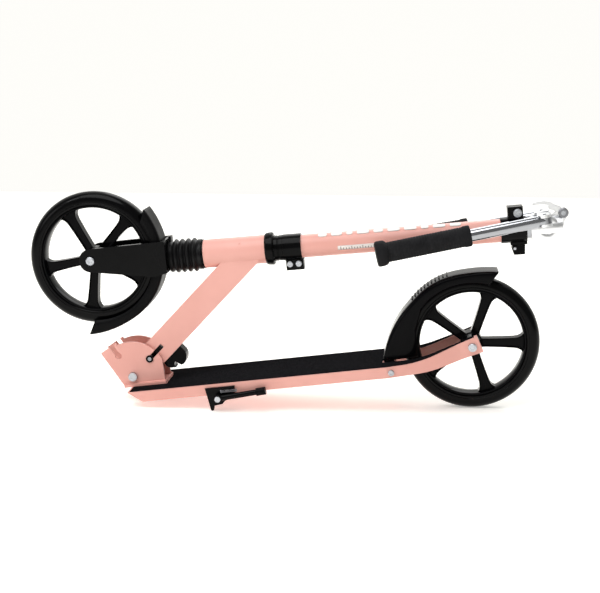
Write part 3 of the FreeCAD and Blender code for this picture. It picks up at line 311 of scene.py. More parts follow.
def sweep(bm, path, radius, sides=12, closed=False):
    """Round wire through points, in mm."""
    points = [Vector(point) * MM for point in path]
    count = len(points)
    normal = None
    rings = []
    for index, point in enumerate(points):
        ahead = points[(index + 1) % count] if closed or index < count - 1 else point
        behind = points[index - 1] if closed or index else point
        along = (ahead - behind).normalized()
        if normal is None:
            normal = along.orthogonal().normalized()
        normal = (normal - along * normal.dot(along)).normalized()
        across = along.cross(normal)
        ring = []
        for side in range(sides):
            angle = math.tau * side / sides
            offset = normal * math.cos(angle) + across * math.sin(angle)
            ring.append(bm.verts.new(point + offset * radius * MM))
        rings.append(ring)
    for index in range(count if closed else count - 1):
        ring, following = rings[index], rings[(index + 1) % count]
        for side in range(sides):
            turn = (side + 1) % sides
            bm.faces.new((ring[side], ring[turn], following[turn], following[side]))
    if not closed:
        bm.faces.new(list(reversed(rings[0])))
        bm.faces.new(rings[-1])


def helix(start, end, radius, turns, along="x", steps=20):
    """Points of a coil between two positions on an axis, with closed end turns."""
    points = []
    total = int(turns * steps)
    for step in range(total + 1):
        share = step / total
        eased = min(1.0, max(0.0, (share * turns - 1) / (turns - 2)))
        distance = start + (end - start) * (0.04 + 0.92 * eased)
        angle = math.tau * turns * share
        a, b = radius * math.cos(angle), radius * math.sin(angle)
        points.append((distance, a, b) if along == "x" else (a, distance, b))
    return points


def bolt_head(bm, centre, radius, depth, outward=-1, socket=True):
    """Domed screw head on a Y axis, with a hexagonal socket or a hexagon outside."""
    x, y, z = centre
    rim = [(radius, 0), (radius, depth * 0.55), (radius * 0.93, depth * 0.82)]
    rim += [(radius * 0.78, depth), (radius * 0.56, depth)]
    rings = []
    for r, d in rim:
        ring = []
        for step in range(24):
            angle = math.tau * step / 24
            here = r
            if socket is False and d < depth * 0.9:
                part = (angle % (math.tau / 6)) - math.tau / 12
                here = r * math.cos(math.tau / 12) / math.cos(part)
            ring.append(
                bm.verts.new(
                    (
                        (x + here * math.cos(angle)) * MM,
                        (y + outward * d) * MM,
                        (z + here * math.sin(angle)) * MM,
                    )
                )
            )
        rings.append(ring)
    bottom = depth * (0.35 if socket else 0.9)
    for r, d in ((radius * 0.5, depth), (radius * 0.5, bottom)):
        ring = []
        for step in range(24):
            angle = math.tau * step / 24
            part = (angle % (math.tau / 6)) - math.tau / 12
            here = r * math.cos(math.tau / 12) / math.cos(part)
            ring.append(
                bm.verts.new(
                    (
                        (x + here * math.cos(angle)) * MM,
                        (y + outward * d) * MM,
                        (z + here * math.sin(angle)) * MM,
                    )
                )
            )
        rings.append(ring)
    for ring, following in zip(rings, rings[1:]):
        for step in range(24):
            turn = (step + 1) % 24
            bm.faces.new((ring[step], ring[turn], following[turn], following[step]))
    bm.faces.new(rings[-1])
    bm.faces.new(list(reversed(rings[0])))


def finish_piece(
    name, bm, place, body, material, stands_for=(), bevel=0.0, angle=35, thick=0.0
):
    """Makes the piece, shades and rounds it, and hands it to its body."""
    bmesh.ops.remove_doubles(bm, verts=bm.verts, dist=1e-6)
    bmesh.ops.transform(bm, matrix=PLACES[place], verts=bm.verts)
    bmesh.ops.recalc_face_normals(bm, faces=bm.faces)
    mesh = bpy.data.meshes.new(name)
    bm.to_mesh(mesh)
    bm.free()
    mesh.materials.append(materials[material])
    mesh.shade_smooth()
    mesh.set_sharp_from_angle(angle=math.radians(angle))
    piece = bpy.data.objects.new(name, mesh)
    bpy.context.scene.collection.objects.link(piece)
    if bevel:
        rounding = piece.modifiers.new("Rounding", "BEVEL")
        rounding.width = bevel * MM
        rounding.segments = 3
        rounding.limit_method = "ANGLE"
        rounding.angle_limit = math.radians(angle)
        rounding.harden_normals = False
        rounding.use_clamp_overlap = True
    if thick:
        wall = piece.modifiers.new("Wall", "SOLIDIFY")
        wall.thickness = thick * MM
        wall.offset = -1
    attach(piece, body)
    if stands_for:
        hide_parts(*stands_for)
    return piece


# ------------------------------------------------------------------- settings
class ScooterSizes(PropertyGroup):
    """Sizes that a user would change."""

    tyre_radius: FloatProperty(
        name="Tyre radius", description="Outside radius of both tyres",
        default=0.1, unit="LENGTH",
    )
    tyre_width: FloatProperty(
        name="Tyre width", description="Width of both tyres", default=0.03, unit="LENGTH"
    )
    bellows_folds: IntProperty(
        name="Bellows folds", description="Ridges on the rubber bellows", default=4
    )
    tick_count: IntProperty(
        name="Height marks", description="Marks on the stem's height scale", default=13
    )


class ScooterFinishes(PropertyGroup):
    """Light and floor that a user would change."""

    floor_colour: FloatVectorProperty(
        name="Floor", description="Colour of the plain floor", subtype="COLOR", size=3,
        default=linear("FBFAF6")[:3],
    )
    key_power: FloatProperty(
        name="Key light", description="Power of the large soft light", default=38.0, unit="POWER"
    )
    floor_glow: FloatProperty(
        name="Floor glow", description="How brightly the floor is lit from below", default=0.35
    )
    room_glow: FloatProperty(
        name="Room", description="Brightness of the room round the set", default=0.3
    )


# ------------------------------------------------------------------ finishes
CAD_FINISHES = {
    "pink": ("deck", "fold_bracket", "neck_frame", "stem_tube"),
    "tape": ("grip_tape",),
    "black_paint": (
        "fork", "headset_locknut", "lower_headset_cup", "upper_headset_cup", "stem_clamp",
        "kickstand_bracket", "kickstand_leg", "upper_clamp",
    ),
    "gloss": ("release_trigger", "front_rim", "rear_rim", "rear_fender", "clamp_lever"),
    "satin": ("front_mudguard", "bellows_tie", "kickstand_foot", "fender_grip_strip"),
    "tyre": ("front_tyre", "rear_tyre"),
    "bellows": ("bellows",),
    "grip": ("left_grip", "right_grip"),
    "chrome": ("left_handle", "right_handle", "slider_tube"),
    "cast": ("t_head", "t_lever"),
    "spring": ("lock_spring", "suspension_spring", "fender_spring", "kickstand_spring"),
}


class SCOOTER_OT_finishes(Operator):
    """Gives every piece of the frame its finish"""

    bl_idname = "scooter.finishes"
    bl_label = "Finishes"

    def execute(self, context):
        materials.update(make_materials())
        finish_of = {}
        for finish, names in CAD_FINISHES.items():
            for name in names:
                finish_of[name] = finish
        for name, piece in frame["nodes"].items():
            piece.data.materials.clear()
            piece.data.materials.append(materials[finish_of.get(name, "zinc")])
        return {"FINISHED"}


# -------------------------------------------------------------------- wheels
RIM_SEAT = 80.0
RIM_LOW = 76.0
SPOKES = 5
SPOKE_HALF_DEPTH = 8
PANEL_EDGE = 2.1
PANEL_DEPTH = 3.4
CROWN_DEPTH = 12.5


def tyre_profile(radius, half):
    """Half-round cast tyre with a stepped bead on each side."""
    points = [(RIM_SEAT, -half + 1.4), (RIM_SEAT + 1.0, -half + 0.2), (RIM_SEAT + 3.4, -half)]
    points += [(RIM_SEAT + 4.0, -half + 0.5), (RIM_SEAT + 4.6, -half)]
    shoulder = radius - CROWN_DEPTH
    crown = []
    for step in range(17):
        angle = math.radians(-90 + 180 * step / 16)
        crown.append((shoulder + CROWN_DEPTH * math.cos(angle), half * math.sin(angle)))
    points += crown
    points += [(r, -y) for r, y in reversed(points[:5])]
    return points


def build_wheel(name, place, body, spoke_turn):
    sizes = bpy.context.scene.scooter_sizes
    radius = sizes.tyre_radius / MM
    half = sizes.tyre_width / MM / 2
    bm = bmesh.new()
    revolve(bm, tyre_profile(radius, half), "y", 160)
    finish_piece(name + "_tyre_cast", bm, place, body, "tyre", (name + "_tyre",))

    bm = bmesh.new()
    ring = [(RIM_LOW + 0.6, -11.5), (RIM_LOW + 1.4, -13), (RIM_SEAT - 0.4, -13), (RIM_SEAT, -12)]
    ring += [(RIM_SEAT, 12), (RIM_SEAT - 0.4, 13), (RIM_LOW + 1.4, 13), (RIM_LOW + 0.6, 11.5)]
    ring += [(RIM_LOW, 4), (RIM_LOW, -4)]
    revolve(bm, ring, "y", 160)
    hub = [(11.2, -26.3), (12.9, -26.3), (13.5, -25.6), (13.5, -15), (14.6, -11.5)]
    hub += [(16.0, -10.4), (16.5, -9.6)]
    hub += [(r, -y) for r, y in reversed(hub)]
    revolve(bm, hub, "y", 72)
    for number in range(SPOKES):
        angle = math.radians(spoke_turn + 360 / SPOKES * number)
        turn = Matrix.Rotation(-angle, 3, "Y")
        outline = [(13.0, -6.5), (22, -6.3), (45, -6.8)]
        outline += [(62, -7.6), (68, -8.6), (72.5, -11.0), (77.2, -16.5)]
        outline += [(x, -z) for x, z in reversed(outline)]
        before = set(bm.verts)
        caps = prism(bm, outline, -SPOKE_HALF_DEPTH, SPOKE_HALF_DEPTH)
        bmesh.ops.recalc_face_normals(bm, faces=caps)
        bmesh.ops.inset_individual(bm, faces=caps, thickness=PANEL_EDGE * MM, depth=0)
        for cap in caps:
            sign = -1 if cap.calc_center_median().y > 0 else 1
            for vert in cap.verts:
                vert.co.y += sign * PANEL_DEPTH * MM
        own = [vert for vert in bm.verts if vert not in before]
        bmesh.ops.rotate(bm, verts=own, cent=(0, 0, 0), matrix=turn)
    finish_piece(
        name + "_rim_cast", bm, place, body, "gloss", (name + "_rim",),
        bevel=0.9, angle=28,
    )
    # Rubber seal rings over the bearings.
    bm = bmesh.new()
    for side in (-1, 1):
        seal = [(4.6, 26.45), (10.6, 26.45), (10.6, 26.1), (4.6, 26.1)]
        revolve(bm, [(r, y * side) for r, y in seal], "y", 48)
    finish_piece(name + "_bearing_seals", bm, place, body, "satin")


class SCOOTER_OT_wheels(Operator):
    """Cast tyres on five-spoke rims"""

    bl_idname = "scooter.wheels"
    bl_label = "Wheels"

    def execute(self, context):
        build_wheel("front", "front", "front wheel", 49 - 5.4)
        build_wheel("rear", "deck", "rear wheel", 1 - 7.2)
        return {"FINISHED"}


# ------------------------------------------------------------- rubber bellows
def bellows_profile(folds):
    """Outside and inside of a smooth bellows with a cuff at each end."""
    start, end = 113.4, 163.0
    cuff = 6.5
    outer = [(22.2, start), (22.4, start + 0.6), (22.4, start + cuff - 1.2)]
    length = end - start - 2 * cuff
    total = folds * 16
    for step in range(total + 1):
        share = step / total
        wave = 0.5 - 0.5 * math.cos(math.tau * folds * share)
        outer.append((21.3 + 4.0 * wave**0.8, start + cuff + length * share))
    outer += [(22.4, end - cuff + 1.2), (22.4, end - 0.6), (22.2, end)]
    inner = [(radius - 1.8, distance) for radius, distance in reversed(outer)]
    return outer + inner


class SCOOTER_OT_bellows(Operator):
    """Rubber bellows round the fork spring, with its strap"""

    bl_idname = "scooter.bellows"
    bl_label = "Bellows"

    def execute(self, context):
        bm = bmesh.new()
        revolve(bm, bellows_profile(context.scene.scooter_sizes.bellows_folds), "x", 96)
        piece = finish_piece(
            "fork_bellows", bm, "stem", "fork", "bellows", ("bellows",),
            angle=50,
        )
        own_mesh(piece)

        bm = bmesh.new()
        band = [(22.5, 114.0), (23.5, 113.9), (23.6, 115.6), (23.5, 117.3), (22.5, 117.2)]
        revolve(bm, band, "x", 72)
        outline = [(113.5, 22.9), (117.6, 22.9), (117.6, 29.2), (117.0, 30.6)]
        outline += [(114.1, 30.6), (113.5, 29.2)]
        prism(bm, outline, -3.1, 3.1)
        # Cut tail of the strap.
        prism(bm, [(114.3, 24.4), (116.8, 24.4), (116.8, 25.8), (114.3, 25.8)], -6.6, -3.0)
        finish_piece(
            "bellows_strap", bm, "stem", "fork", "satin",
            ("bellows_tie",), bevel=0.4,
        )
        return {"FINISHED"}


# ---------------------------------------------------------- mudguard and brake
def channel(bm, outer, inner, half, corner):
    """Channel-shaped skin between a crest curve and a skirt curve, with round shoulders."""
    rows = []
    for (ox, oz), (ix, iz) in zip(outer, inner):
        out = Vector((ox, 0, oz))
        low = Vector((ix, 0, iz))
        reach = (out - low).length
        up = (out - low) / max(reach, 1e-6)
        round_by = min(corner, reach * 0.45)
        section = [(-half, 0.0), (-half, (reach - round_by) * 0.5), (-half, reach - round_by)]
        for step in range(1, 7):
            angle = math.radians(90 * step / 6)
            across = -half + round_by * (1 - math.cos(angle))
            section.append((across, reach - round_by + round_by * math.sin(angle)))
        section.append((-half * 0.35, reach))
        section += [(-y, z) for y, z in reversed(section)]
        row = []
        for y, height in section:
            point = (low + up * height) * MM
            row.append(bm.verts.new((point.x, y * MM, point.z)))
        rows.append(row)
    for row, following in zip(rows, rows[1:]):
        for index in range(len(row) - 1):
            bm.faces.new((row[index], row[index + 1], following[index + 1], following[index]))


def along(points, count):
    """Evenly spaced points on a line through the given points."""
    lengths = [0.0]
    for a, b in zip(points, points[1:]):
        lengths.append(lengths[-1] + math.dist(a, b))
    out = []
    for step in range(count):
        wanted = lengths[-1] * step / (count - 1)
        index = max(i for i, length in enumerate(lengths[:-1]) if length <= wanted + 1e-9)
        gap = lengths[index + 1] - lengths[index]
        share = (wanted - lengths[index]) / gap if gap else 0
        a, b = points[index], points[index + 1]
        out.append((a[0] + (b[0] - a[0]) * share, a[1] + (b[1] - a[1]) * share))
    return out


def polar(radius, angle):
    return (radius * math.cos(math.radians(angle)), radius * math.sin(math.radians(angle)))


class SCOOTER_OT_guards(Operator):
    """Front mudguard, rear brake fender and its grip ribs"""

    bl_idname = "scooter.guards"
    bl_label = "Guards"

    def execute(self, context):
        bm = bmesh.new()
        outer, inner = [], []
        for step in range(61):
            share = step / 60
            angle = 38.4 - (38.4 + 99.4) * share
            lift = 0.0
            if angle > 12:
                lift = 3.2 * ((angle - 12) / 26.4) ** 1.6
            if angle < -62:
                lift = 9.0 * ((-62 - angle) / 37.4) ** 1.6
            outer.append(polar(106.9 + lift, angle))
            inner.append(polar(92.2, 31.7 - (31.7 + 94.7) * share))
        channel(bm, outer, inner, 23.9, 5.5)
        finish_piece(
            "front_mudguard_shell", bm, "front", "fork", "satin",
            ("front_mudguard",), thick=2.5, angle=40,
        )
        # Moulded lug that the guard hangs from.
        bm = bmesh.new()
        prism(bm, [(104.6, -9.8), (108.4, -9.8), (108.4, 3.8), (104.6, 3.8)], -6.8, 6.8)
        finish_piece(
            "front_mudguard_lug", bm, "front", "fork", "satin", bevel=0.8
        )

        bm = bmesh.new()
        crest = [(-132.8, -10.6), (-131.0, -4.5), (-128.6, 2.0), (-125.0, 12.0)]
        crest += [(-120.6, 22.0), (-115.7, 31.3), (-110.1, 40.4), (-103.8, 49.2)]
        crest += [(-96.9, 57.6), (-87.8, 66.7)]
        for step in range(34):
            angle = 138 - (138 - 64.9) * step / 33
            radius = 106.7 + (2.2 * (angle - 100) / 38 if angle > 100 else 0)
            if angle < 92:
                radius += 8.4 * ((92 - angle) / 27.4) ** 1.7
            if angle < 136:
                crest.append(polar(radius, angle))
        skirt = [(-79.5, -9.2), (-79.3, 27.0)]
        skirt += arc((0, 0), 92.2, 141, 68.8, 30)[1:]
        channel(bm, along(crest, 90), along(skirt, 90), 24.4, 6.0)
        finish_piece(
            "brake_fender_shell", bm, "deck", "foot brake", "gloss",
            ("rear_fender",), thick=2.5, angle=40,
        )
        # The two lugs that turn on the rod, joined under the skin.
        bm = bmesh.new()
        lug = [(-130.2, -25.6), (-114.8, -25.6), (-114.8, -3.0), (-130.2, -3.0)]
        for low, high in ((-24.2, -8.7), (8.7, 24.2)):
            prism(bm, lug, low, high)
        prism(bm, [(-130.2, -9.0), (-114.8, -9.0), (-114.8, -3.2), (-130.2, -3.2)], -9.5, 9.5)
        finish_piece(
            "brake_fender_lugs", bm, "deck", "foot brake", "gloss",
            bevel=1.2,
        )

        bm = bmesh.new()
        for number in range(11):
            angle = 104.0 + 3.3 * number
            turn = Matrix.Rotation(-math.radians(angle), 3, "Y")
            before = set(bm.verts)
            radius = 106.9 + 2.2 * max(0.0, angle - 100) / 38
            height = 1.7
            prism(
                bm,
                [(radius - 1.0, -1.0), (radius + height * 0.7, -0.9), (radius + height, -0.3),
                 (radius + height, 0.3), (radius + height * 0.7, 0.9), (radius - 1.0, 1.0)],
                -12.5 + 1.5 * (number % 2), 12.5 - 1.5 * (number % 2),
            )
            own = [vert for vert in bm.verts if vert not in before]
            bmesh.ops.rotate(bm, verts=own, cent=(0, 0, 0), matrix=turn)
        finish_piece(
            "brake_grip_ribs", bm, "deck", "foot brake", "satin",
            ("fender_grip_strip",), bevel=0.3,
        )
        # Coil on the fender's rod.
        bm = bmesh.new()
        path = []
        for step in range(121):
            share = step / 120
            angle = math.tau * 6 * share
            path.append(
                (-120.5 + 4.4 * math.cos(angle), -6.6 + 13.2 * share, -21 + 4.4 * math.sin(angle))
            )
        sweep(bm, path, 0.75, 8)
        finish_piece(
            "brake_return_coil", bm, "deck", "foot brake", "spring",
            ("fender_spring",),
        )
        return {"FINISHED"}


# ------------------------------------------------------------ screws and nuts
HEADS = (
    # name, place, body, centre x, y, z, radius, depth, side, socket
    ("front_axle_head", "front", "fork", 0, -33.0, 0, 6.5, 4.0, -1, True),
    ("rear_axle_head", "deck", "chassis", 0, -37.0, 0, 6.5, 4.0, -1, True),
    ("fold_bolt_cap", "deck", "chassis", -510.6, -22.4, 3.0, 6.9, 5.3, -1, True),
    ("clamp_screw_low", "stem", "stem", 293, -8.0, -24.1, 4.6, 3.7, -1, True),
    ("clamp_screw_high", "stem", "stem", 306, -8.0, -24.1, 4.6, 3.7, -1, True),
    ("block_screw_cap", "stem", "stem", 628, -11.0, 25.4, 6.2, 4.3, -1, True),
)
NUTS = (
    ("front_axle_hex", "front", "fork", 0, 33.0, 0, 7.4, 6.2, 1, ("front_axle_nut",)),
    ("rear_axle_hex", "deck", "chassis", 0, 37.0, 0, 7.4, 6.2, 1, ("rear_axle_nut",)),
    ("fold_hex", "deck", "chassis", -510.6, 22.5, 3.0, 7.6, 6.7, 1, ("fold_nut",)),
)


class SCOOTER_OT_screws(Operator):
    """Socket screw heads, locknuts and washers"""

    bl_idname = "scooter.screws"
    bl_label = "Screws"

    def execute(self, context):
        for name, place, body, x, y, z, radius, depth, side, socket in HEADS:
            bm = bmesh.new()
            bolt_head(bm, (x, y, z), radius, depth, side, socket)
            finish_piece(name, bm, place, body, "zinc", angle=30)
        for name, place, body, x, y, z, radius, depth, side, stands_for in NUTS:
            bm = bmesh.new()
            bolt_head(bm, (x, y, z), radius, depth, side, False)
            # Nylon-collared locknuts: the dome is narrower than the hexagon.
            finish_piece(name, bm, place, body, "zinc", stands_for, angle=30)
        bm = bmesh.new()
        bolt_head(bm, (-120.5, -57.8, -21), 4.6, 2.2, -1, True)
        finish_piece("fender_rod_screw", bm, "deck", "chassis", "zinc", angle=30)
        bm = bmesh.new()
        bolt_head(bm, (628, 11.0, 25.4), 5.6, 4.6, 1, False)
        finish_piece("block_screw_hex", bm, "stem", "stem", "brass", angle=30)
        for number, at in enumerate((293, 306)):
            bm = bmesh.new()
            bolt_head(bm, (at, 8.0, -24.1), 4.6, 3.4, 1, False)
            finish_piece(
                "clamp_hex_%d" % (number + 1), bm, "stem", "stem", "zinc", angle=30
            )
        return {"FINISHED"}


# ---------------------------------------------------------------- rubber grips
class SCOOTER_OT_grips(Operator):
    """Foam grips with moulded rings and a closed end"""

    bl_idname = "scooter.grips"
    bl_label = "Grips"

    def execute(self, context):
        for side in ("left", "right"):
            bm = bmesh.new()
            start = 246 - 137
            outer = [(9.2, 0), (14.6, 0), (15.2, 0.6), (15.3, 1.6), (15.3, 8.8), (14.9, 9.8)]
            at = 11.0
            while at < 118:
                outer += [(14.2, at), (14.5, at + 0.5), (14.5, at + 2.6), (14.2, at + 3.1)]
                at += 3.9
            outer += [(14.3, 120), (16.2, 121.6), (17.8, 124), (18.4, 127.5), (18.5, 133.2)]
            outer += [(18.0, 135.6), (16.4, 136.9), (6.0, 137), (5.0, 136.2), (0.6, 136.0)]
            outer += [(0.6, 134.5), (9.2, 134.5)]
            revolve(bm, [(r, start + d) for r, d in outer], "x", 72)
            finish_piece(
                side + "_grip_foam", bm, side, side + " handle", "grip",
                (side + "_grip",), angle=32,
            )
        return {"FINISHED"}


# ------------------------------------------------------------ marks on the stem
def patch(bm, low, high, start, end, radius, corner, rows=7):
    """Rounded patch wrapped on a tube along X; angles turn from -Y towards +Z, in degrees."""
    middle, half = (start + end) / 2, math.radians(end - start) / 2 * radius
    corner = min(corner, half, (high - low) / 2)
    stations = []
    for step in range(9):
        angle = math.radians(90 * step / 8)
        stations.append((low + corner * (1 - math.cos(angle)), corner * (1 - math.sin(angle))))
    stations += [(low + high - at, inset) for at, inset in reversed(stations)]
    columns = []
    for at, inset in stations:
        column = []
        for row in range(rows):
            reach = (half - inset + 1e-3) * (2 * row / (rows - 1) - 1)
            angle = math.radians(middle) + reach / radius
            column.append(
                bm.verts.new(
                    (at * MM, -radius * math.cos(angle) * MM, radius * math.sin(angle) * MM)
                )
            )
        columns.append(column)
    for column, following in zip(columns, columns[1:]):
        for row in range(rows - 1):
            bm.faces.new((column[row], following[row], following[row + 1], column[row + 1]))


class SCOOTER_OT_marks(Operator):
    """White dashes and the height scale on the stem"""

    bl_idname = "scooter.marks"
    bl_label = "Marks"

    def execute(self, context):
        bm = bmesh.new()
        at = 338.0
        lengths = (13, 16, 9, 18, 14, 18, 18, 11, 18, 16)
        for number, length in enumerate(lengths):
            patch(bm, at, at + length, 50, 84, 17.06, 3.2)
            at += length + 6.4
        finish_piece(
            "stem_dashes", bm, "stem", "stem", "ink", thick=-0.12, angle=60
        )
        bm = bmesh.new()
        patch(bm, 366, 423, -26, -4, 17.06, 1.0)
        finish_piece(
            "height_label", bm, "stem", "stem", "film", thick=-0.12, angle=60
        )
        bm = bmesh.new()
        count = context.scene.scooter_sizes.tick_count
        for number in range(count):
            where = 370 + 48.5 * number / (count - 1)
            reach = 15 if number % 4 == 0 else 9
            patch(bm, where, where + 1.1, -24, -24 + reach, 17.21, 0.2, 4)
        finish_piece(
            "height_ticks", bm, "stem", "stem", "tick_ink", thick=-0.08, angle=60
        )
        return {"FINISHED"}


# ------------------------------------------------------------- handlebar head
def centre(node):
    """Middle of a node's box."""
    low, high = (Vector(corner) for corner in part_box(node))
    return (low + high) / 2


class SCOOTER_OT_head(Operator):
    """Machined ends, plugs, lever washer, foot welds and lock pin ends"""

    bl_idname = "scooter.head"
    bl_label = "Head details"

    def execute(self, context):
        for side in (-1, 1):
            bm = bmesh.new()
            face = 14.0
            ring = [(9.0, face - 1.5), (9.0, face + 1.0), (10.0, face + 1.5), (15.4, face + 1.5)]
            ring += [(16.6, face + 0.9), (17.0, face - 0.3), (17.0, face - 1.5)]
            revolve(bm, [(r, d * side) for r, d in ring], "y", 72)
            bmesh.ops.translate(bm, verts=bm.verts, vec=(669 * MM, 0, 0))
            name = "head_cap_near" if side < 0 else "head_cap_far"
            finish_piece(name, bm, "stem", "handlebar", "cast", angle=30)
            bm = bmesh.new()
            bolt_head(bm, (669, side * 13.0, 0), 8.6, 2.4, side, True)
            name = "head_plug_near" if side < 0 else "head_plug_far"
            finish_piece(name, bm, "stem", "handlebar", "satin", angle=30)

        # Washer on the bar lever's pivot.
        bm = bmesh.new()
        ring = [(3.4, -11.9), (6.4, -11.9), (7.2, -11.3), (7.2, -9.4), (3.4, -9.4)]
        revolve(bm, ring, "y", 56)
        bmesh.ops.translate(bm, verts=bm.verts, vec=(693 * MM, 0, 19.7 * MM))
        finish_piece("lever_washer", bm, "stem", "handlebar", "spring", angle=30)

        for side in (-1, 1):
            bm = bmesh.new()
            path = []
            for step in range(61):
                share = step / 60
                ripple = 0.35 * math.sin(math.tau * share * 15)
                path.append((-524.5 + 63 * share, side * (23.1 + ripple), -7.9))
            sweep(bm, path, 1.5, 8)
            name = "foot_weld_near" if side < 0 else "foot_weld_far"
            finish_piece(name, bm, "deck", "chassis", "pink", angle=60)
            lock = neck_place.inverted() @ centre("lock_pin")
            bm = bmesh.new()
            ring = [(3.2, 22.7), (5.2, 22.7), (5.7, 23.2), (5.7, 23.9), (5.2, 24.4), (3.2, 24.4)]
            revolve(bm, [(r, d * side) for r, d in ring], "y", 40)
            bmesh.ops.translate(bm, verts=bm.verts, vec=(lock.x, 0, lock.z))
            name = "lock_clip_near" if side < 0 else "lock_clip_far"
            finish_piece(name, bm, "neck", "fold lock", "satin", angle=30)
            bm = bmesh.new()
            bolt_head(bm, (lock.x / MM, side * 20.0, lock.z / MM), 3.3, 4.0, side, True)
            name = "lock_end_near" if side < 0 else "lock_end_far"
            finish_piece(name, bm, "neck", "fold lock", "zinc", angle=30)

        return {"FINISHED"}


# -------------------------------------------------------------- coil springs
COILS = (
    # name, node, place, body, joint, length, travel, coil radius, wire radius, turns
    ("lock_coil", "lock_spring", "neck", "neck", "lock_release", 49.8, 23.9, 5.6, 0.75, 12),
    ("fork_coil", "suspension_spring", "stem", "stem", "fork_spring", 84.4, 12.6, 8.0, 1.3, 15),
)


class SCOOTER_OT_springs(Operator):
    """Coil springs of the lock, the fork and the side stand"""

    bl_idname = "scooter.springs"
    bl_label = "Springs"

    def execute(self, context):
        for name, node, place, body, joint, length, travel, radius, wire, turns in COILS:
            local = PLACES[place].inverted() @ centre(node)
            middle = local.x / MM
            path = helix(middle - length / 2 + wire, middle + length / 2 - wire, radius, turns)
            bm = bmesh.new()
            sweep(bm, path, wire, 8)
            piece = finish_piece(
                name, bm, place, body, "spring", (node,), angle=60
            )
            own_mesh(piece)

        bm = bmesh.new()
        local = deck_place.inverted() @ centre("kickstand_spring")
        path = []
        for x, y, z in helix(-12.6, 12.6, 2.1, 16, "x", 12):
            path.append((local.x / MM + x, local.y / MM + y, local.z / MM + z))
        sweep(bm, path, 0.5, 6)
        finish_piece(
            "stand_spring_coil", bm, "deck", "chassis", "spring",
            ("kickstand_spring",),
        )
        return {"FINISHED"}


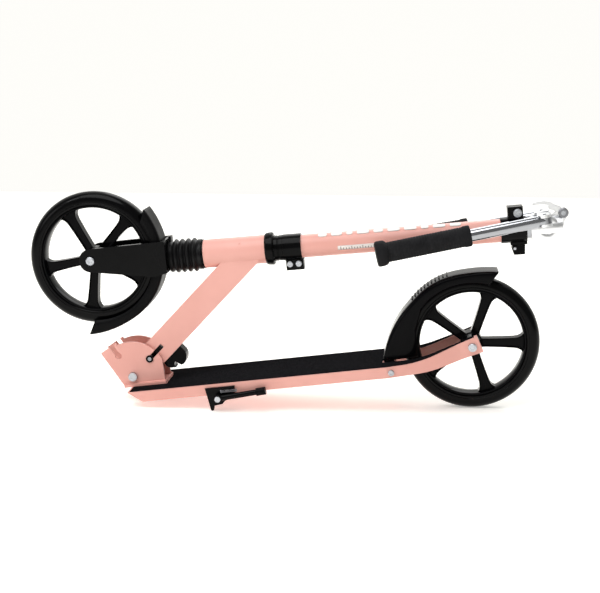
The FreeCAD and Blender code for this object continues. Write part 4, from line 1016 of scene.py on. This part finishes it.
# ---------------------------------------------------------------------- stage
class SCOOTER_OT_stage(Operator):
    """Plain floor, soft lights and the camera"""

    bl_idname = "scooter.stage"
    bl_label = "Stage"

    def execute(self, context):
        look = context.scene.scooter_finishes
        mesh = bpy.data.meshes.new("floor")
        bm = bmesh.new()
        bmesh.ops.create_grid(bm, x_segments=1, y_segments=1, size=12)
        bm.to_mesh(mesh)
        bm.free()
        wall = bmesh.new()
        prism(wall, [(-9000, -200), (9000, -200), (9000, 9000), (-9000, 9000)], 2600, 2610)
        wall_mesh = bpy.data.meshes.new("backdrop")
        wall.to_mesh(wall_mesh)
        wall.free()
        backdrop = bpy.data.objects.new("backdrop", wall_mesh)
        context.scene.collection.objects.link(backdrop)
        glow, _, glow_shader = new_material("lit_studio_paper", "FEFDF9", 0.0, 0.9, 1.45)
        glow_shader.inputs["Base Color"].default_value = linear("1A1A1A")
        glow_shader.inputs["Emission Color"].default_value = linear("FEFDF9")
        glow_shader.inputs["Emission Strength"].default_value = 0.98
        wall_mesh.materials.append(glow)
        floor = bpy.data.objects.new("floor", mesh)
        context.scene.collection.objects.link(floor)
        material, tree, shader = new_material("matt_studio_paper", "FBFAF6", 0.0, 0.9, 1.45)
        place = add(tree, "ShaderNodeTexCoord").outputs["Object"]
        vary(tree, shader.inputs["Roughness"], place, 40, ((0.3, 0.85), (0.7, 0.95)))
        shader.inputs["Base Color"].default_value = (*look.floor_colour, 1)
        shader.inputs["Emission Color"].default_value = (*look.floor_colour, 1)
        shader.inputs["Emission Strength"].default_value = look.floor_glow
        mesh.materials.append(material)

        world = bpy.data.worlds.new("studio")
        world.use_nodes = True
        context.scene.world = world
        tree = world.node_tree
        background = tree.nodes["Background"]
        background.inputs["Color"].default_value = linear("FEFDF9")
        background.inputs["Strength"].default_value = look.room_glow

        lights = (
            ("key", (-0.5, -0.9, 2.3), (0, 0, 0.12), 2.0, look.key_power),
            ("fill", (-1.9, -1.3, 0.9), (0, 0, 0.15), 0.8, look.key_power * 0.12),
            ("back", (0.3, 1.6, 1.7), (0, 0, 0.15), 1.8, look.key_power * 0.5),
            ("spark", (-1.3, -0.9, 1.5), (-0.2, 0, 0.2), 0.28, look.key_power * 0.1),
        )
        for name, position, target, size, power in lights:
            data = bpy.data.lights.new(name, "AREA")
            data.shape = "DISK"
            data.size = size
            data.energy = power
            lamp = bpy.data.objects.new(name, data)
            lamp.location = position
            aim = Vector(target) - Vector(position)
            lamp.rotation_euler = aim.to_track_quat("-Z", "Y").to_euler()
            context.scene.collection.objects.link(lamp)

        azimuth, elevation = math.radians(5.5), math.radians(11.7)
        back = Vector(
            (
                math.sin(azimuth) * math.cos(elevation),
                -math.cos(azimuth) * math.cos(elevation),
                math.sin(elevation),
            )
        )
        right = Vector((math.cos(azimuth), math.sin(azimuth), 0))
        upward = back.cross(right)
        target = deck_place @ Vector((-0.26, 0, 0.06))
        data = bpy.data.cameras.new("camera")
        data.lens = 72
        data.sensor_width = 36
        data.clip_start = 0.05
        data.clip_end = 60
        camera = bpy.data.objects.new("camera", data)
        camera.location = target + back * 1.79975 + right * 0.009998 + upward * 0.035035
        camera.rotation_euler = (-back).to_track_quat("-Z", "Y").to_euler()
        context.scene.collection.objects.link(camera)
        context.scene.camera = camera
        context.scene.view_settings.view_transform = "Standard"
        return {"FINISHED"}


# ---------------------------------------------------------------- registration
class SCOOTER_PT_panel(Panel):
    """Lists the scooter's sizes and the steps that build it"""

    bl_idname = "SCOOTER_PT_panel"
    bl_label = "Kick scooter"
    bl_space_type = "VIEW_3D"
    bl_region_type = "UI"
    bl_category = "Scooter"

    def draw(self, context):
        for group in (context.scene.scooter_sizes, context.scene.scooter_finishes):
            for name in group.bl_rna.properties.keys():
                if name not in ("rna_type", "name"):
                    self.layout.prop(group, name)
        for step in OPERATORS:
            self.layout.operator(step.bl_idname)


OPERATORS = [
    SCOOTER_OT_finishes, SCOOTER_OT_wheels, SCOOTER_OT_bellows, SCOOTER_OT_guards,
    SCOOTER_OT_screws, SCOOTER_OT_grips, SCOOTER_OT_marks, SCOOTER_OT_head,
    SCOOTER_OT_springs, SCOOTER_OT_stage,
]
CLASSES = [ScooterSizes, ScooterFinishes, *OPERATORS, SCOOTER_PT_panel]
materials = {}


def register():
    for item in CLASSES:
        bpy.utils.register_class(item)
    bpy.types.Scene.scooter_sizes = PointerProperty(type=ScooterSizes)
    bpy.types.Scene.scooter_finishes = PointerProperty(type=ScooterFinishes)


def unregister():
    del bpy.types.Scene.scooter_finishes
    del bpy.types.Scene.scooter_sizes
    for item in reversed(CLASSES):
        bpy.utils.unregister_class(item)


def main():
    register()
    for step in OPERATORS:
        group, name = step.bl_idname.split(".")
        getattr(getattr(bpy.ops, group), name)()


if __name__ == "__main__":
    main()
